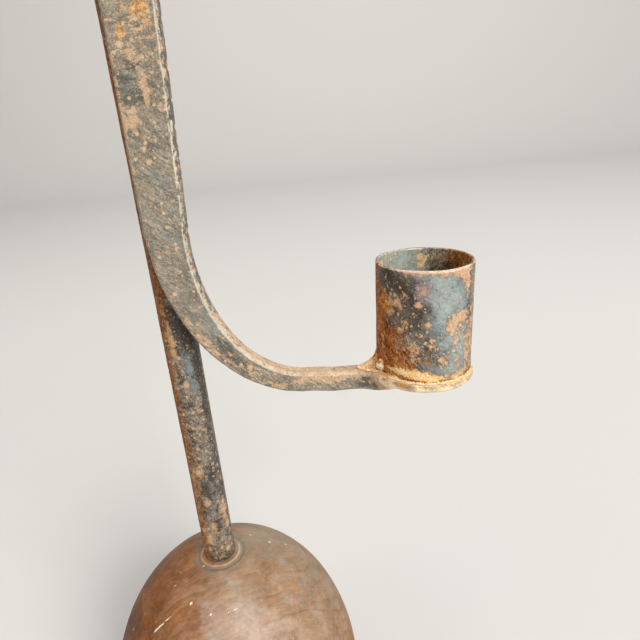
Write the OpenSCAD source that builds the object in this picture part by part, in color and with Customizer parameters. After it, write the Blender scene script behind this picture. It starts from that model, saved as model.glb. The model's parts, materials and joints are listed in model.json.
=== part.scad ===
// Table rushlight holder: hand-forged iron on a turned wooden base.
// A round stem carries the fixed jaw. A lever riveted to its top carries the
// moving jaw and, at its low end, a candle socket. The weight of the socket
// keeps the jaws shut on the rush, and lifting it opens them.
// Millimetres, +Z up. The origin is the centre of the foot on the table, the
// socket is towards +X and the lever laps the front of the stem, towards -Y.

/* [Base] */
// Largest diameter of the turned wood
base_d = 83; // [80:1:120]
// Height that the dome would reach without its flat seat
base_h = 65; // [55:1:90]
// Height of the widest line above the table
belly_h = 11; // [6:1:20]
// Diameter of the flat foot
foot_d = 74; // [50:1:78]
// Width of the flat seat left round the stem
seat_w = 1.5; // [1:0.1:4]
// Width of the ring groove cut round the seat
groove_w = 1.4; // [0.8:0.1:3]
// Depth of the ring groove
groove_t = 0.6; // [0.3:0.1:1.2]

/* [Stem] */
// Diameter of the bar where it leaves the wood
stem_d = 9.8; // [8:0.2:13]
// Diameter of the bar under the neck
stem_top_d = 9.4; // [7:0.2:12]
// Diameter of the tang in the wood
tang_d = 6.8; // [5:0.2:7.6]
// Diameter of the riveted end of the tang
clench_d = 10.8; // [9:0.2:14]
// Thickness of the riveted end of the tang
clench_t = 1.2; // [0.8:0.1:2]
// Height of the pivot above the table
pivot_h = 238; // [220:1:280]
// Sideways offset of the pivot from the axis of the bar
pivot_x = 2.5; // [0:0.1:4]
// Length of the neck that runs from the round bar to the flat cheek
neck_l = 15; // [13:1:26]

/* [Cheeks] */
// Diameter of both round cheeks at the pivot
cheek_d = 16.8; // [15:0.2:22]
// Thickness of the cheek of the stem
cheek_t = 4.5; // [3.5:0.1:6]
// Running gap between the two cheeks
lap_gap = 0.3; // [0.2:0.05:0.5]
// Gap between the lever and the round bar of the stem
bar_gap = 0.5; // [0.4:0.05:1]
// Bevel on the rims of the cheeks
cheek_bevel = 0.6; // [0.2:0.1:1]

/* [Rivet] */
// Diameter of the rivet
rivet_d = 5; // [4:0.1:6]
// Diameter of the rivet heads
rivet_head_d = 9.4; // [8:0.2:12]
// Height of the rivet heads
rivet_head_h = 2.2; // [1.4:0.1:3]
// Diameter of the rove behind the stem
rove_d = 12.4; // [11:0.2:15]
// Thickness of the rove behind the stem
rove_t = 1; // [0.6:0.1:2]

/* [Jaws] */
// Height of the jaws above the pivot
jaw_h = 42; // [36:1:60]
// Height of the flat faces that grip the rush
grip_h = 14; // [8:1:18]
// Width of the jaws where they grip
jaw_w = 10.8; // [8:0.2:16]
// Thickness of the jaws above the cheeks
jaw_root_t = 5; // [4:0.1:7]
// Thickness of the jaws at their tips
jaw_tip_t = 3; // [2:0.1:5]
// Gap between the closed jaws
bite = 0.3; // [0.2:0.1:1]
// Width of the eye between the closed jaws
eye_w = 8; // [6:0.5:14]

/* [Lever] */
// Width of the strap where it leaves the cheek
strap_w = 13; // [9:0.2:14]
// Width of the strap where the crook begins
crook_w = 10.8; // [7:0.1:12]
// Height of the thin bar between crook and pad
bar_w = 5.9; // [4:0.1:7]
// Height of the bar where it meets the pad
bar_end_w = 6.4; // [4:0.1:8]
// Front-to-back thickness of the strap at the top
strap_t = 4.2; // [3:0.1:6]
// Front-to-back thickness of the bar before the pad
bar_t = 4.8; // [4:0.1:7]
// Worn bevel along the edges of the strap
strap_bevel = 0.8; // [0.4:0.1:1.2]
// Offset of the strap to the socket side, at the crook
strap_x = 3.5; // [2:0.1:6]
// Offset of the strap to the socket side, under the cheek
strap_top_x = 5.1; // [4:0.1:6]
// Height of the middle of the bar above the table
bar_h = 126.8; // [115:0.1:140]
// Rise of the bar at the crook, above its line at the pad
bar_arch = 0.6; // [0:0.1:2]
// Sideways reach of the crook
crook_reach = 31.6; // [24:0.2:36]
// Height of the crook
crook_rise = 44; // [30:1:54]

/* [Socket] */
// Distance from the axis of the stem to the axis of the socket
socket_reach = 66; // [62:0.5:90]
// Outer diameter of the socket
socket_d = 25; // [21:0.2:28]
// Thickness of the rolled sheet
socket_wall = 0.9; // [0.6:0.1:1.5]
// Height of the socket
socket_h = 29.5; // [20:0.5:45]
// Lean of the socket away from the stem, in degrees
socket_lean = 2; // [0:0.5:5]
// Width of the lapped seam at the back of the socket
seam_w = 5; // [3:0.5:8]
// Thickness that the scarfed seam stands proud
seam_t = 0.6; // [0.4:0.05:0.65]
// Rim of the pad outside the socket
pad_rim = 0.7; // [0.7:0.1:2]
// Thickness of the pad
pad_t = 2.4; // [1.8:0.1:4]
// Foot of the braze fillet round the socket
braze_foot = 0.55; // [0.3:0.05:0.65]
// Height of the braze fillet round the socket
braze_h = 1.1; // [0.6:0.1:2]
// Extra foot of the braze on the side of the lever
wad_foot = 5.4; // [1:0.1:6]
// Extra height of the braze on the side of the lever
wad_h = 4.6; // [2:0.1:8]

/* [Tang rove] */
// Diameter of the rove let into the underside
tang_rove_d = 20; // [16:0.5:30]
// Thickness of the rove let into the underside
tang_rove_t = 1.8; // [1:0.1:3]

/* [Fits] */
// Running clearance of the lever on the rivet, on the radius
running_fit = 0.08; // [0.04:0.01:0.1]
// Clearance of pieces that are fixed together, on the radius
fixed_fit = 0.03; // [0.02:0.01:0.06]
// Clearance of the iron in its holes in the wood, on the radius
wood_fit = 0.1; // [0.05:0.05:0.3]
// Clearance of the head of the rivet in front of the lever
head_gap = 0.1; // [0.05:0.05:0.3]

/* [Hidden] */
iron = "#5d5148";
iron_rust = "#7d5a3c";
brass = "#b08d4f";
wood = "#74503a";

// The share of a rivet's crown that the hammer left flat.
crown_flat = 0.2;

// How finely the curves are stepped.
round_fn = 96;
arc_steps = 28;
roll_steps = 8;
neck_sides = 24;
neck_steps = 12;
jaw_steps = 14;
strap_steps = 10;
crook_steps = 18;
bar_steps = 14;
crown_steps = 8;
braze_steps = 90;

// Small lengths that the forgings share: how far a cut or a joined solid runs
// past its face, and how far a face stays inside the one that it meets.
overlap = 1;
inside = 0.05;
ring_gap = 0.5;

base_r = base_d / 2;
foot_r = foot_d / 2;
stem_r = stem_d / 2;
stem_top_r = stem_top_d / 2;
dome_h = base_h - belly_h;
seat_r = stem_r + seat_w;
groove_r = seat_r + groove_w;
seat_z = dome_z(seat_r);
rove_z = clench_t;
recess_h = clench_t + tang_rove_t;

// The lap: the lever runs clear in front of the round bar, and the cheek of
// the stem stands just behind it.
lever_back_y = -(stem_r + bar_gap);
lever_front_y = lever_back_y - strap_t;
lever_mid_y = (lever_back_y + lever_front_y) / 2;
cheek_front_y = lever_back_y + lap_gap;
cheek_back_y = cheek_front_y + cheek_t;
cheek_mid_y = (cheek_front_y + cheek_back_y) / 2;
lap_y = (lever_front_y + cheek_back_y) / 2;
cheek_r = cheek_d / 2;

// The back head of the rivet, closed by hand, is a little smaller.
back_head_r = rivet_head_d / 2 - 0.4;
back_head_h = rivet_head_h - 0.3;

// Where the flat necks and jaws end inside the cheeks, clear of the bore, and
// how far they stay inside the round of a cheek.
root_wall = 1.2;
root_gap = rivet_d / 2 + root_wall;
neck_inset = 1.2;
strap_inset = 0.9;
strap_blend = 4;

// The power that squares the corners of the neck, 1 being an ellipse.
neck_corner = 0.45;

// The turn, in degrees before the crook begins, at which its taper starts.
taper_from = -20;

// The jaws leave the cheeks at clear_r and have their full width by spread_z.
clear_r = cheek_r + lap_gap;
spread_l = 8;
spread_z = pivot_h + clear_r + spread_l;
tip_z = pivot_h + jaw_h;
grip_z = tip_z - grip_h;
jaw_bevel = 0.5;
tip_bevel = 0.8;

crook_x = strap_x + crook_reach;
crook_z = bar_h + crook_rise;
socket_r = socket_d / 2;
pad_r = socket_r + pad_rim;
seam_short = 0.5;
pad_bevel = 0.6;
pad_low = 0.3;
pad_z = bar_h + bar_w / 2 - (pad_r * sin(socket_lean)) - pad_low;

// The bar flares from flare_x on, into a tongue that lies inside the pad.
flare_lead = 4;
flare_x = socket_reach - pad_r - flare_lead;
flare_l = 10;
flare_ease = 2;
level_x = socket_reach - pad_r - flare_l;
tongue_t = pad_t - 0.2;
tongue_share = 0.75;
tongue_bevel = 0.4;

// Where the braze swells, as angles round the socket and spreads in degrees.
lever_side = 180;
swell_spread = 12;
drip_at = 218;
drip_spread = 9;
drip_h = 0.9;
seam_at = 90;
seam_turn = seam_w / (PI * socket_d) * 360;
seam_spread = seam_turn / 2 + 7.5;
seam_foot = 0.1;
tube_gap = 0.04;

// Height of the dome of the wood at a distance r from its axis.
function dome_z(r) = belly_h + dome_h * sqrt(1 - pow(r / base_r, 2));

// A share of the way from a to b.
function mix(a, b, t) = a + (b - a) * t;

// A share that eases in and out, for x running from lo to hi.
function ease(x, lo, hi) =
    let (t = min(max((x - lo) / (hi - lo), 0), 1)) t * t * (3 - 2 * t);

// The same list from its end to its start.
function reversed(list) = [for (i = [len(list) - 1:-1:0]) list[i]];

// A rectangle of half sizes a and b with bevelled corners.
function bevelled(a, b, c) = [
    [a - c, -b], [a, -b + c], [a, b - c], [a - c, b],
    [-a + c, b], [-a, b - c], [-a, -b + c], [-a + c, -b]
];

// An outline that goes from a circle, e = 1, to a rounded rectangle.
function squared(a, b, e) = [
    for (i = [0:neck_sides - 1])
        let (turn = 360 * i / neck_sides, u = cos(turn), v = sin(turn))
        [a * sign(u) * pow(abs(u), e), b * sign(v) * pow(abs(v), e)]
];

// One closed solid through a list of rings with equal numbers of points.
module loft(rings) {
    n = len(rings[0]);
    last = len(rings) - 1;
    points = [for (ring = rings) each ring];
    sides = [
        for (k = [0:last - 1], i = [0:n - 1])
            let (j = (i + 1) % n, a = k * n, b = (k + 1) * n)
            each [[a + i, b + i, b + j], [a + i, b + j, a + j]]
    ];
    foot = [for (i = [1:n - 2]) [0, i, i + 1]];
    head = [for (i = [1:n - 2]) [last * n, last * n + i + 1, last * n + i]];
    polyhedron(points = points, faces = concat(sides, foot, head), convexity = 6);
}

// A disc on the pivot axis with bevelled rims, from y0 to y1.
module cheek(y0, y1) {
    translate([pivot_x, 0, pivot_h])
        rotate([90, 0, 0])
            rotate_extrude($fn = round_fn)
                polygon([
                    [0, -y1], [cheek_r - cheek_bevel, -y1], [cheek_r, -y1 + cheek_bevel],
                    [cheek_r, -y0 - cheek_bevel], [cheek_r - cheek_bevel, -y0], [0, -y0]
                ]);
}

// A straight round hole or pin on the pivot axis, from y0 to y1.
module on_pivot(r, y0, y1) {
    translate([pivot_x, y1, pivot_h])
        rotate([90, 0, 0])
            cylinder(r = r, h = y1 - y0, $fn = round_fn);
}

// Moves its children to the middle of the pad's top face, leaning with it.
module at_pad() {
    translate([socket_reach, lever_mid_y, pad_z])
        rotate([0, socket_lean, 0])
            children();
}

// Half the width of the eye at height z: none at the grip and at the cheeks.
function eye_half(z) =
    let (low = pivot_h + clear_r, share = min(max((z - low) / (grip_z - low), 0), 1))
    bite / 2 + (eye_w - bite) / 2 * pow(sin(180 * share), 2);

// One ring of a jaw at height z. The side is 1 for the fixed jaw, on the
// socket side, and -1 for the moving one. The jaw starts as thick as its own
// cheek and spreads to the full width of the grip.
function jaw_ring(z, side, mid_y, half_t, inset = 0) =
    let (
        low = pivot_h + clear_r,
        spread = ease(z, low, spread_z),
        inner = mix(-root_gap, eye_half(z), ease(z, pivot_h + root_gap, low)),
        outer = eye_half(z) + mix(jaw_root_t, jaw_tip_t, ease(z, low, grip_z)),
        x = pivot_x + side * (inner + outer) / 2,
        y = mix(mid_y, lap_y, spread),
        half_y = mix(half_t, jaw_w / 2, spread)
    )
    [
        for (p = bevelled((outer - inner) / 2 - inset, half_y - inset, jaw_bevel))
            [x + p[0], y + p[1], z]
    ];

// A whole jaw, from inside its cheek up to its bevelled tip.
module jaw(side, mid_y, half_t) {
    low = pivot_h + root_gap;
    loft(concat(
        [
            for (i = [0:jaw_steps])
                jaw_ring(mix(low, tip_z - tip_bevel, i / jaw_steps), side, mid_y, half_t)
        ],
        [jaw_ring(tip_z, side, mid_y, half_t, tip_bevel)]
    ));
}

// The neck of the stem, from the round bar up into the flat cheek. It is as
// thin as the cheek before it comes under the rove.
module neck() {
    low = pivot_h - neck_l - overlap;
    flat_z = pivot_h - rove_d / 2 - lap_gap;
    top = pivot_h - root_gap;
    loft([
        for (i = [0:neck_steps])
            let (
                z = mix(low, top, i / neck_steps),
                t = ease(z, low + overlap, flat_z),
                half_x = mix(stem_top_r - inside, cheek_r - neck_inset, t),
                half_y = mix(stem_top_r - inside, cheek_t / 2, t)
            )
            [
                for (p = squared(half_x, half_y, mix(1, neck_corner, t)))
                    [pivot_x * t + p[0], cheek_mid_y * t + p[1], z]
            ]
    ]);
}

// Turned base: a tall dome with a rolled foot, a flat seat with a ring groove
// for the stem, a hole for the tang and a recess for its rove.
module base() {
    lower = [
        for (i = [0:roll_steps])
            let (a = 90 * i / roll_steps)
            [foot_r + (base_r - foot_r) * sin(a), belly_h * (1 - cos(a))]
    ];
    upper = [
        for (i = [1:arc_steps])
            let (r = base_r * cos(mix(0, acos(groove_r / base_r), i / arc_steps)))
            [r, dome_z(r)]
    ];
    seat = [
        [seat_r + groove_w / 2, dome_z(seat_r) - groove_t],
        [seat_r, seat_z],
        [0, seat_z],
        [0, 0]
    ];
    color(wood)
        difference() {
            rotate_extrude($fn = round_fn)
                polygon(concat(lower, upper, seat));
            translate([0, 0, -overlap])
                cylinder(r = tang_d / 2 + wood_fit, h = base_h + overlap, $fn = round_fn);
            translate([0, 0, -overlap])
                cylinder(r = tang_rove_d / 2 + wood_fit, h = recess_h + overlap, $fn = round_fn);
        }
}

// Stem: riveted tang, tapered round bar, flattened cheek and fixed jaw.
module stem() {
    bar_l = pivot_h - neck_l - seat_z;
    color(iron)
        difference() {
            union() {
                cylinder(d = clench_d, h = clench_t, $fn = round_fn);
                cylinder(d = tang_d, h = seat_z + overlap, $fn = round_fn);
                translate([0, 0, seat_z])
                    cylinder(r1 = stem_r, r2 = stem_top_r, h = bar_l, $fn = round_fn);
                neck();
                cheek(cheek_front_y, cheek_back_y);
                jaw(1, cheek_mid_y, cheek_t / 2);
            }
            on_pivot(rivet_d / 2 + fixed_fit, cheek_front_y - overlap, cheek_back_y + overlap);
        }
}

// One ring of the lever: square to a path that heads at angle a from straight
// down (0) to level (90), with half sizes in the plane of swing and across it.
function lever_ring(x, z, a, half_w, half_t, bevel) = [
    for (p = bevelled(half_w, half_t, bevel))
        [x + p[0] * cos(a), lever_mid_y + p[1], z + p[0] * sin(a)]
];

// Strap of the lever, from inside the cheek to where the crook begins.
function strap_rings() =
    let (top = pivot_h - root_gap, cheek_low = pivot_h - cheek_r - strap_blend)
    [
        for (i = [0:strap_steps])
            let (
                z = mix(top, crook_z + ring_gap, i / strap_steps),
                t = (z - crook_z) / (top - crook_z),
                into = ease(z, cheek_low, top),
                mid = mix(strap_x, strap_top_x, t),
                half = mix(crook_w, strap_w, t) / 2,
                right = mix(mid + half, pivot_x + cheek_r - strap_inset, into),
                left = mix(mid - half, pivot_x - cheek_r + strap_inset, into)
            )
            lever_ring((right + left) / 2, z, 0, (right - left) / 2, strap_t / 2, strap_bevel)
    ];

// Crook of the lever: a quarter of an ellipse that tapers as it turns.
function crook_rings() = [
    for (i = [0:crook_steps])
        let (
            a = 90 * i / crook_steps,
            t = ease(a, taper_from, 90),
            heading = atan2(crook_reach * sin(a), crook_rise * cos(a))
        )
        lever_ring(
            crook_x - crook_reach * cos(a), crook_z - crook_rise * sin(a) + bar_arch * t, heading,
            mix(crook_w, bar_w, t) / 2, mix(strap_t, bar_t, t) / 2, strap_bevel
        )
];

// Bar of the lever. It comes down from its arch to the level of the pad, then
// spreads and thins into the pad, with its top face kept level.
function bar_rings() =
    let (end = flare_x + flare_l)
    [
        for (i = [1:bar_steps])
            let (
                x = mix(crook_x, end, i / bar_steps),
                spread = ease(x, flare_x - flare_ease, end - flare_ease / 2),
                thin = ease(x, flare_x + flare_ease, end),
                half_w = mix(mix(bar_w, bar_end_w, spread), tongue_t, thin) / 2,
                half_t = mix(bar_t / 2, pad_r * tongue_share, spread * spread),
                top = bar_h + bar_w / 2 + bar_arch * (1 - ease(x, crook_x, level_x))
            )
            lever_ring(x, top - half_w, 90, half_w, half_t, mix(strap_bevel, tongue_bevel, thin))
    ];

// Lever: moving jaw, cheek, strap, crook, bar and the round pad of the socket.
module lever() {
    color(iron_rust)
        difference() {
            union() {
                cheek(lever_front_y, lever_back_y);
                jaw(-1, lever_mid_y, strap_t / 2);
                loft(reversed(concat(strap_rings(), crook_rings(), bar_rings())));
                at_pad()
                    rotate_extrude($fn = round_fn)
                        polygon([
                            [0, -pad_t], [pad_r - pad_bevel, -pad_t], [pad_r, pad_bevel - pad_t],
                            [pad_r, 0], [0, 0]
                        ]);
            }
            on_pivot(rivet_d / 2 + running_fit, lever_front_y - overlap, lever_back_y + overlap);
            at_pad()
                translate([-pad_r - flare_l, -pad_r - overlap, 0])
                    cube([2 * pad_r + flare_l + overlap, 2 * (pad_r + overlap), bar_w]);
        }
}

// A domed head whose flat side lies at y = 0 and whose crown, hammered flat
// in the middle, points to -Y.
module rivet_head(r, h) {
    crown = (r * r + h * h) / (2 * h);
    arc = asin(r / crown);
    dome = [
        for (i = [0:crown_steps])
            let (a = arc * mix(1, crown_flat, i / crown_steps))
            [crown * sin(a), h - crown * (1 - cos(a))]
    ];
    rotate([90, 0, 0])
        rotate_extrude($fn = round_fn)
            polygon(concat([[0, 0]], dome, [[0, dome[crown_steps][1]]]));
}

// Rivet: a shank through both cheeks and the rove, with a head at each end.
module pivot_rivet() {
    front = lever_front_y - head_gap;
    back = cheek_back_y + rove_t;
    color(iron)
        union() {
            on_pivot(rivet_d / 2, front - rivet_head_h / 2, back + rivet_head_h / 2);
            translate([pivot_x, front, pivot_h])
                rivet_head(rivet_head_d / 2, rivet_head_h);
            translate([pivot_x, back, pivot_h])
                rotate([0, 0, 180])
                    rivet_head(back_head_r, back_head_h);
        }
}

// Rove that spreads the back head of the rivet on the cheek of the stem.
module pivot_rove() {
    color(iron)
        difference() {
            on_pivot(rove_d / 2, cheek_back_y, cheek_back_y + rove_t);
            on_pivot(rivet_d / 2 + fixed_fit, cheek_back_y - overlap, cheek_back_y + rove_t + overlap);
        }
}

// Candle socket: sheet iron rolled to a tube, its seam lapped at the back.
module candle_socket() {
    color(iron)
        at_pad()
            difference() {
                union() {
                    cylinder(r = socket_r, h = socket_h, $fn = round_fn);
                    rotate([0, 0, seam_at - seam_turn / 2])
                        rotate_extrude(angle = seam_turn, $fn = round_fn)
                            translate([socket_r - socket_wall / 2, 0])
                                square([socket_wall / 2 + seam_t, socket_h - seam_short]);
                }
                translate([0, 0, -overlap])
                    cylinder(r = socket_r - socket_wall, h = socket_h + 2 * overlap, $fn = round_fn);
            }
}

// Section of the braze at angle a round the socket, as distances from its
// axis and heights above the pad. It swells on the side of the lever.
function braze_section(a) =
    let (
        swell = exp(-pow((a - lever_side) / swell_spread, 2)),
        drip = exp(-pow((a - drip_at) / drip_spread, 2)),
        seam = exp(-pow((a - seam_at) / seam_spread, 8)),
        low = fixed_fit,
        inner = socket_r + tube_gap + seam * seam_t,
        foot = mix(braze_foot + wad_foot * swell, seam_foot, seam),
        rise = mix(braze_h + wad_h * swell + drip_h * drip, seam_foot, seam)
    )
    [
        [inner, low], [inner + foot, low],
        [inner + foot * 0.4, low + rise * 0.28],
        [inner + foot * 0.12, low + rise * 0.62],
        [inner, low + rise]
    ];

// Brass that sealed the socket to the pad, one uneven fillet all round.
module socket_braze() {
    sections = [for (k = [0:braze_steps - 1]) braze_section(360 * k / braze_steps)];
    n = len(sections[0]);
    points = [
        for (k = [0:braze_steps - 1], p = sections[k])
            let (a = 360 * k / braze_steps) [p[0] * cos(a), p[0] * sin(a), p[1]]
    ];
    faces = [
        for (k = [0:braze_steps - 1], i = [0:n - 1])
            let (j = (i + 1) % n, a = k * n, b = ((k + 1) % braze_steps) * n)
            each [[a + i, a + j, b + j], [a + i, b + j, b + i]]
    ];
    color(brass)
        at_pad()
            polyhedron(points = points, faces = faces, convexity = 6);
}

// Rove let into the underside, over which the tang is riveted.
module tang_rove() {
    color(iron)
        translate([0, 0, rove_z])
            difference() {
                cylinder(d = tang_rove_d, h = tang_rove_t, $fn = round_fn);
                translate([0, 0, -overlap])
                    cylinder(r = tang_d / 2 + fixed_fit, h = tang_rove_t + 2 * overlap, $fn = round_fn);
            }
}

base();
stem();
lever();
pivot_rivet();
pivot_rove();
candle_socket();
socket_braze();
tang_rove();
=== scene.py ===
"""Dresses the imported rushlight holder: worn forged iron on an old turned wooden base.

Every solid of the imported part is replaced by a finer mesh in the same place. The forgings start from
the solid itself, remeshed finely and then hammered and pitted. The candle socket and the wooden base
are turned anew from their sizes. Where the finish changes over a surface is painted into the mesh as
soft patches, and the shaders break these patches up into rust, scale, scratches and dust.
"""

import json
import logging
import math
from dataclasses import dataclass, field, replace
from enum import Enum
from typing import Callable, Sequence

import bmesh
import bpy
import numpy as np
from mathutils import Matrix, Vector, noise


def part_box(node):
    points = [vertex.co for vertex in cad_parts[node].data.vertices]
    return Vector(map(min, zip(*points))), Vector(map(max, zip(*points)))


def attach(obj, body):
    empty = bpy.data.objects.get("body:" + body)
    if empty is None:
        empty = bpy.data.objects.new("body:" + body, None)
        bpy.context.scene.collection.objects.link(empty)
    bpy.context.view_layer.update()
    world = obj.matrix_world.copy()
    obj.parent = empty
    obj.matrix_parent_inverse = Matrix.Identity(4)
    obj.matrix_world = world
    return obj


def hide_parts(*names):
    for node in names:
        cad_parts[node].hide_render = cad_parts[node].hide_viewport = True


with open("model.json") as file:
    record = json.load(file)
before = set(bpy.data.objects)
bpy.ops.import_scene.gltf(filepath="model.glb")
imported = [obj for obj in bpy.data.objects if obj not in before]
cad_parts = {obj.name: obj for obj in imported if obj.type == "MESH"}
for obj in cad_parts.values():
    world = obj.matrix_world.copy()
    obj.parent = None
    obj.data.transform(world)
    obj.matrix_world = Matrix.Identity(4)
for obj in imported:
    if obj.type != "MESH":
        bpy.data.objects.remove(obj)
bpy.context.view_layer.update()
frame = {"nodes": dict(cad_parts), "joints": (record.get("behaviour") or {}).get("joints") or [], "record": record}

log = logging.getLogger("rushlight_holder")

MM = 0.001

Point = tuple[float, float, float]
Tones = tuple[str, ...]
Socket = bpy.types.NodeSocket


class Body(Enum):
    """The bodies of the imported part."""

    STAND = "stand"
    LEVER = "lever_arm"


class Slot(Enum):
    """The material slots of the record."""

    WOOD = "turned_wood"
    FORGED = "forged_iron"
    SHEET = "sheet_iron"
    BRAZE = "braze_brass"


class Layer(Enum):
    """What a patch lays on a surface. Each layer is one vertex attribute of the mesh."""

    CRUST = "crust"
    # Rust, and on some pieces painted shade and shadow in rust tones.
    RUST_AND_SHADE = "rust"
    # Bared metal under a painted sheen, and on the wood a painted highlight.
    BARE_AND_SHEEN = "bare_and_sheen"
    # Soot and dark scale, and on some pieces painted shade, shadow and dark reflection.
    SOOT_AND_SHADE = "soot"
    # Worn arrises, and painted highlights on some rims.
    WORN_AND_HIGHLIGHT = "worn"
    SPOT = "spot"
    HATCH = "hatch"
    DUST = "dust"
    TINT = "tint"
    BRASS = "brass"


def colour(code: str) -> tuple[float, float, float, float]:
    """Turns a colour as it looks on a screen into the linear values that shaders take.

    Args:
        code: Six hexadecimal digits after a hash sign.

    Returns:
        Red, green, blue and alpha.
    """
    parts = [int(code[i : i + 2], 16) / 255 for i in (1, 3, 5)]
    linear = [c / 12.92 if c <= 0.04045 else ((c + 0.055) / 1.055) ** 2.4 for c in parts]
    return (linear[0], linear[1], linear[2], 1.0)


@dataclass(frozen=True)
class Patch:
    """A soft patch of one layer, placed on a piece's chart in millimetres.

    A round spot has one reach, its radius, and is sharp. Other layers fade over their reach. The turn
    tilts the patch, in degrees clockwise.
    """

    layer: Layer
    along: float
    up: float
    reach: tuple[float, float]
    weight: float = 1.0
    turn: float = 0.0

    def distance(self, chart: np.ndarray) -> np.ndarray:
        """How far each vertex lies from the patch, in reaches."""
        turn = math.radians(self.turn)
        x, y = (chart - (self.along, self.up)).T
        across = (x * math.cos(turn) - y * math.sin(turn)) / self.reach[0]
        upward = (x * math.sin(turn) + y * math.cos(turn)) / self.reach[1]
        return np.hypot(across, upward)


# Meshes


@dataclass
class Skin:
    """A mesh under work, as arrays in millimetres, with the attributes that its shader reads."""

    piece: bpy.types.Object
    points: np.ndarray = field(init=False)
    normals: np.ndarray = field(init=False)

    def __post_init__(self) -> None:
        """Reads the mesh."""
        self.refresh()

    def refresh(self) -> None:
        """Reads points and normals again after a change."""
        mesh = self.piece.data
        count = len(mesh.vertices)
        flat = np.empty(count * 3, np.float32)
        mesh.vertices.foreach_get("co", flat)
        self.points = flat.reshape(-1, 3).astype(float) / MM
        mesh.vertex_normals.foreach_get("vector", flat)
        self.normals = flat.reshape(-1, 3).astype(float)

    def push(self, amount: np.ndarray) -> None:
        """Moves each vertex along its normal.

        Args:
            amount: Millimetres per vertex, positive outwards.
        """
        moved = (self.points + self.normals * amount[:, None]) * MM
        self.piece.data.vertices.foreach_set("co", moved.astype(np.float32).ravel())
        self.piece.data.update()
        self.refresh()

    def neighbours_mean(self, values: np.ndarray) -> np.ndarray:
        """Averages values over the neighbours of each vertex.

        Args:
            values: One row per vertex.

        Returns:
            The means, in the same shape.
        """
        mesh = self.piece.data
        ends = np.empty(len(mesh.edges) * 2, np.int32)
        mesh.edges.foreach_get("vertices", ends)
        a, b = ends.reshape(-1, 2).T
        total = np.zeros_like(values)
        count = np.zeros(len(values))
        for here, there in ((a, b), (b, a)):
            np.add.at(total, here, values[there])
            np.add.at(count, here, 1)
        count = np.maximum(count, 1)
        return total / (count[:, None] if values.ndim == 2 else count)

    def convexity(self, rounds: int = 3) -> np.ndarray:
        """Measures how sharply the surface bends at each vertex.

        Args:
            rounds: How often the result is spread to the neighbours.

        Returns:
            About 1 on a sharp arris, 0 on a flat face and negative in a hollow.
        """
        inward = self.neighbours_mean(self.points) - self.points
        spacing = np.linalg.norm(inward - inward.mean(0), axis=1).mean() + 0.05
        bend = -(inward * self.normals).sum(1) / spacing
        for _ in range(rounds):
            bend = (bend + self.neighbours_mean(bend)) / 2
        return bend

    def stored_as(self, name: str) -> np.ndarray:
        """Reads an attribute of one number per vertex."""
        values = np.empty(len(self.points), np.float32)
        self.piece.data.attributes[name].data.foreach_get("value", values)
        return values.astype(float)

    def stored(self, layer: Layer) -> np.ndarray:
        """Reads the attribute of a layer."""
        return self.stored_as(layer.value)

    def add(self, layer: Layer, values: np.ndarray) -> None:
        """Adds to the attribute of a layer."""
        self.store(layer.value, self.stored(layer) + values)

    def store(self, name: str, values: np.ndarray) -> None:
        """Keeps one number, or one vector, per vertex as an attribute.

        Args:
            name: The attribute's name.
            values: The numbers or the rows of three.
        """
        vector = values.ndim == 2
        kind = "FLOAT_VECTOR" if vector else "FLOAT"
        mesh = self.piece.data
        layer = mesh.attributes.get(name) or mesh.attributes.new(name, kind, "POINT")
        layer.data.foreach_set("vector" if vector else "value", values.astype(np.float32).ravel())

    def weather(self, unseen: np.ndarray, size: float, seed: int) -> None:
        """Gives the sides that the photograph doesn't show their own patches of rust, scale and soot.

        Args:
            unseen: The share of the patches that each vertex takes.
            size: The size of one patch in millimetres.
            seed: Which noise.
        """
        for step, (layer, weight) in enumerate(((Layer.RUST_AND_SHADE, 0.9), (Layer.CRUST, 0.7), (Layer.SOOT_AND_SHADE, 0.7))):
            drift = waves(self.points, size / (1 + step * 0.4), seed + step, 2)
            self.add(layer, unseen * weight * np.maximum(drift, -0.1))

    def paint(self, chart: np.ndarray, patches: Sequence[Patch], shown: np.ndarray | None = None) -> None:
        """Paints patches into one attribute per layer.

        Args:
            chart: Two columns, where each vertex lies on the piece's chart, in millimetres.
            patches: What to paint.
            shown: The share of the patches that each vertex takes, such as 0 on the far side.
        """
        share = np.ones(len(chart)) if shown is None else shown
        for layer in Layer:
            spots = layer is Layer.SPOT
            total = np.full(len(chart), -1.0 if spots else 0.0)
            for patch in (p for p in patches if p.layer is layer):
                distance = patch.distance(chart)
                if spots:
                    total = np.maximum(total, np.where(share > 0.5, 1 - distance, -1))
                else:
                    total += patch.weight * np.exp(-(distance**2)) * share
            self.store(layer.value, total)


def waves(points: np.ndarray, size: float, seed: int, octaves: int = 1) -> np.ndarray:
    """Smooth noise at every point.

    Args:
        points: Rows of three, in millimetres.
        size: The size of one lump in millimetres.
        seed: Which noise.
        octaves: How many finer layers are added.

    Returns:
        Values of about -1 to 1.
    """
    shift = Vector((seed * 17.3, seed * 5.1, seed * 11.7))
    if octaves == 1:
        return np.array([noise.noise(Vector(p) / size + shift) for p in points])
    return np.array([noise.fractal(Vector(p) / size + shift, 1.0, 2.0, octaves) for p in points])


def ease(values: np.ndarray, low: float, high: float) -> np.ndarray:
    """Rises smoothly from 0 at low to 1 at high."""
    t = np.clip((values - low) / (high - low), 0, 1)
    return t * t * (3 - 2 * t)


def link(name: str, mesh: bpy.types.Mesh) -> bpy.types.Object:
    """Adds a mesh to the scene as a smooth piece.

    Args:
        name: The piece's name.
        mesh: Its mesh.

    Returns:
        The new object.
    """
    piece = bpy.data.objects.new(name, mesh)
    bpy.context.scene.collection.objects.link(piece)
    mesh.polygons.foreach_set("use_smooth", [True] * len(mesh.polygons))
    return piece


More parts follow.
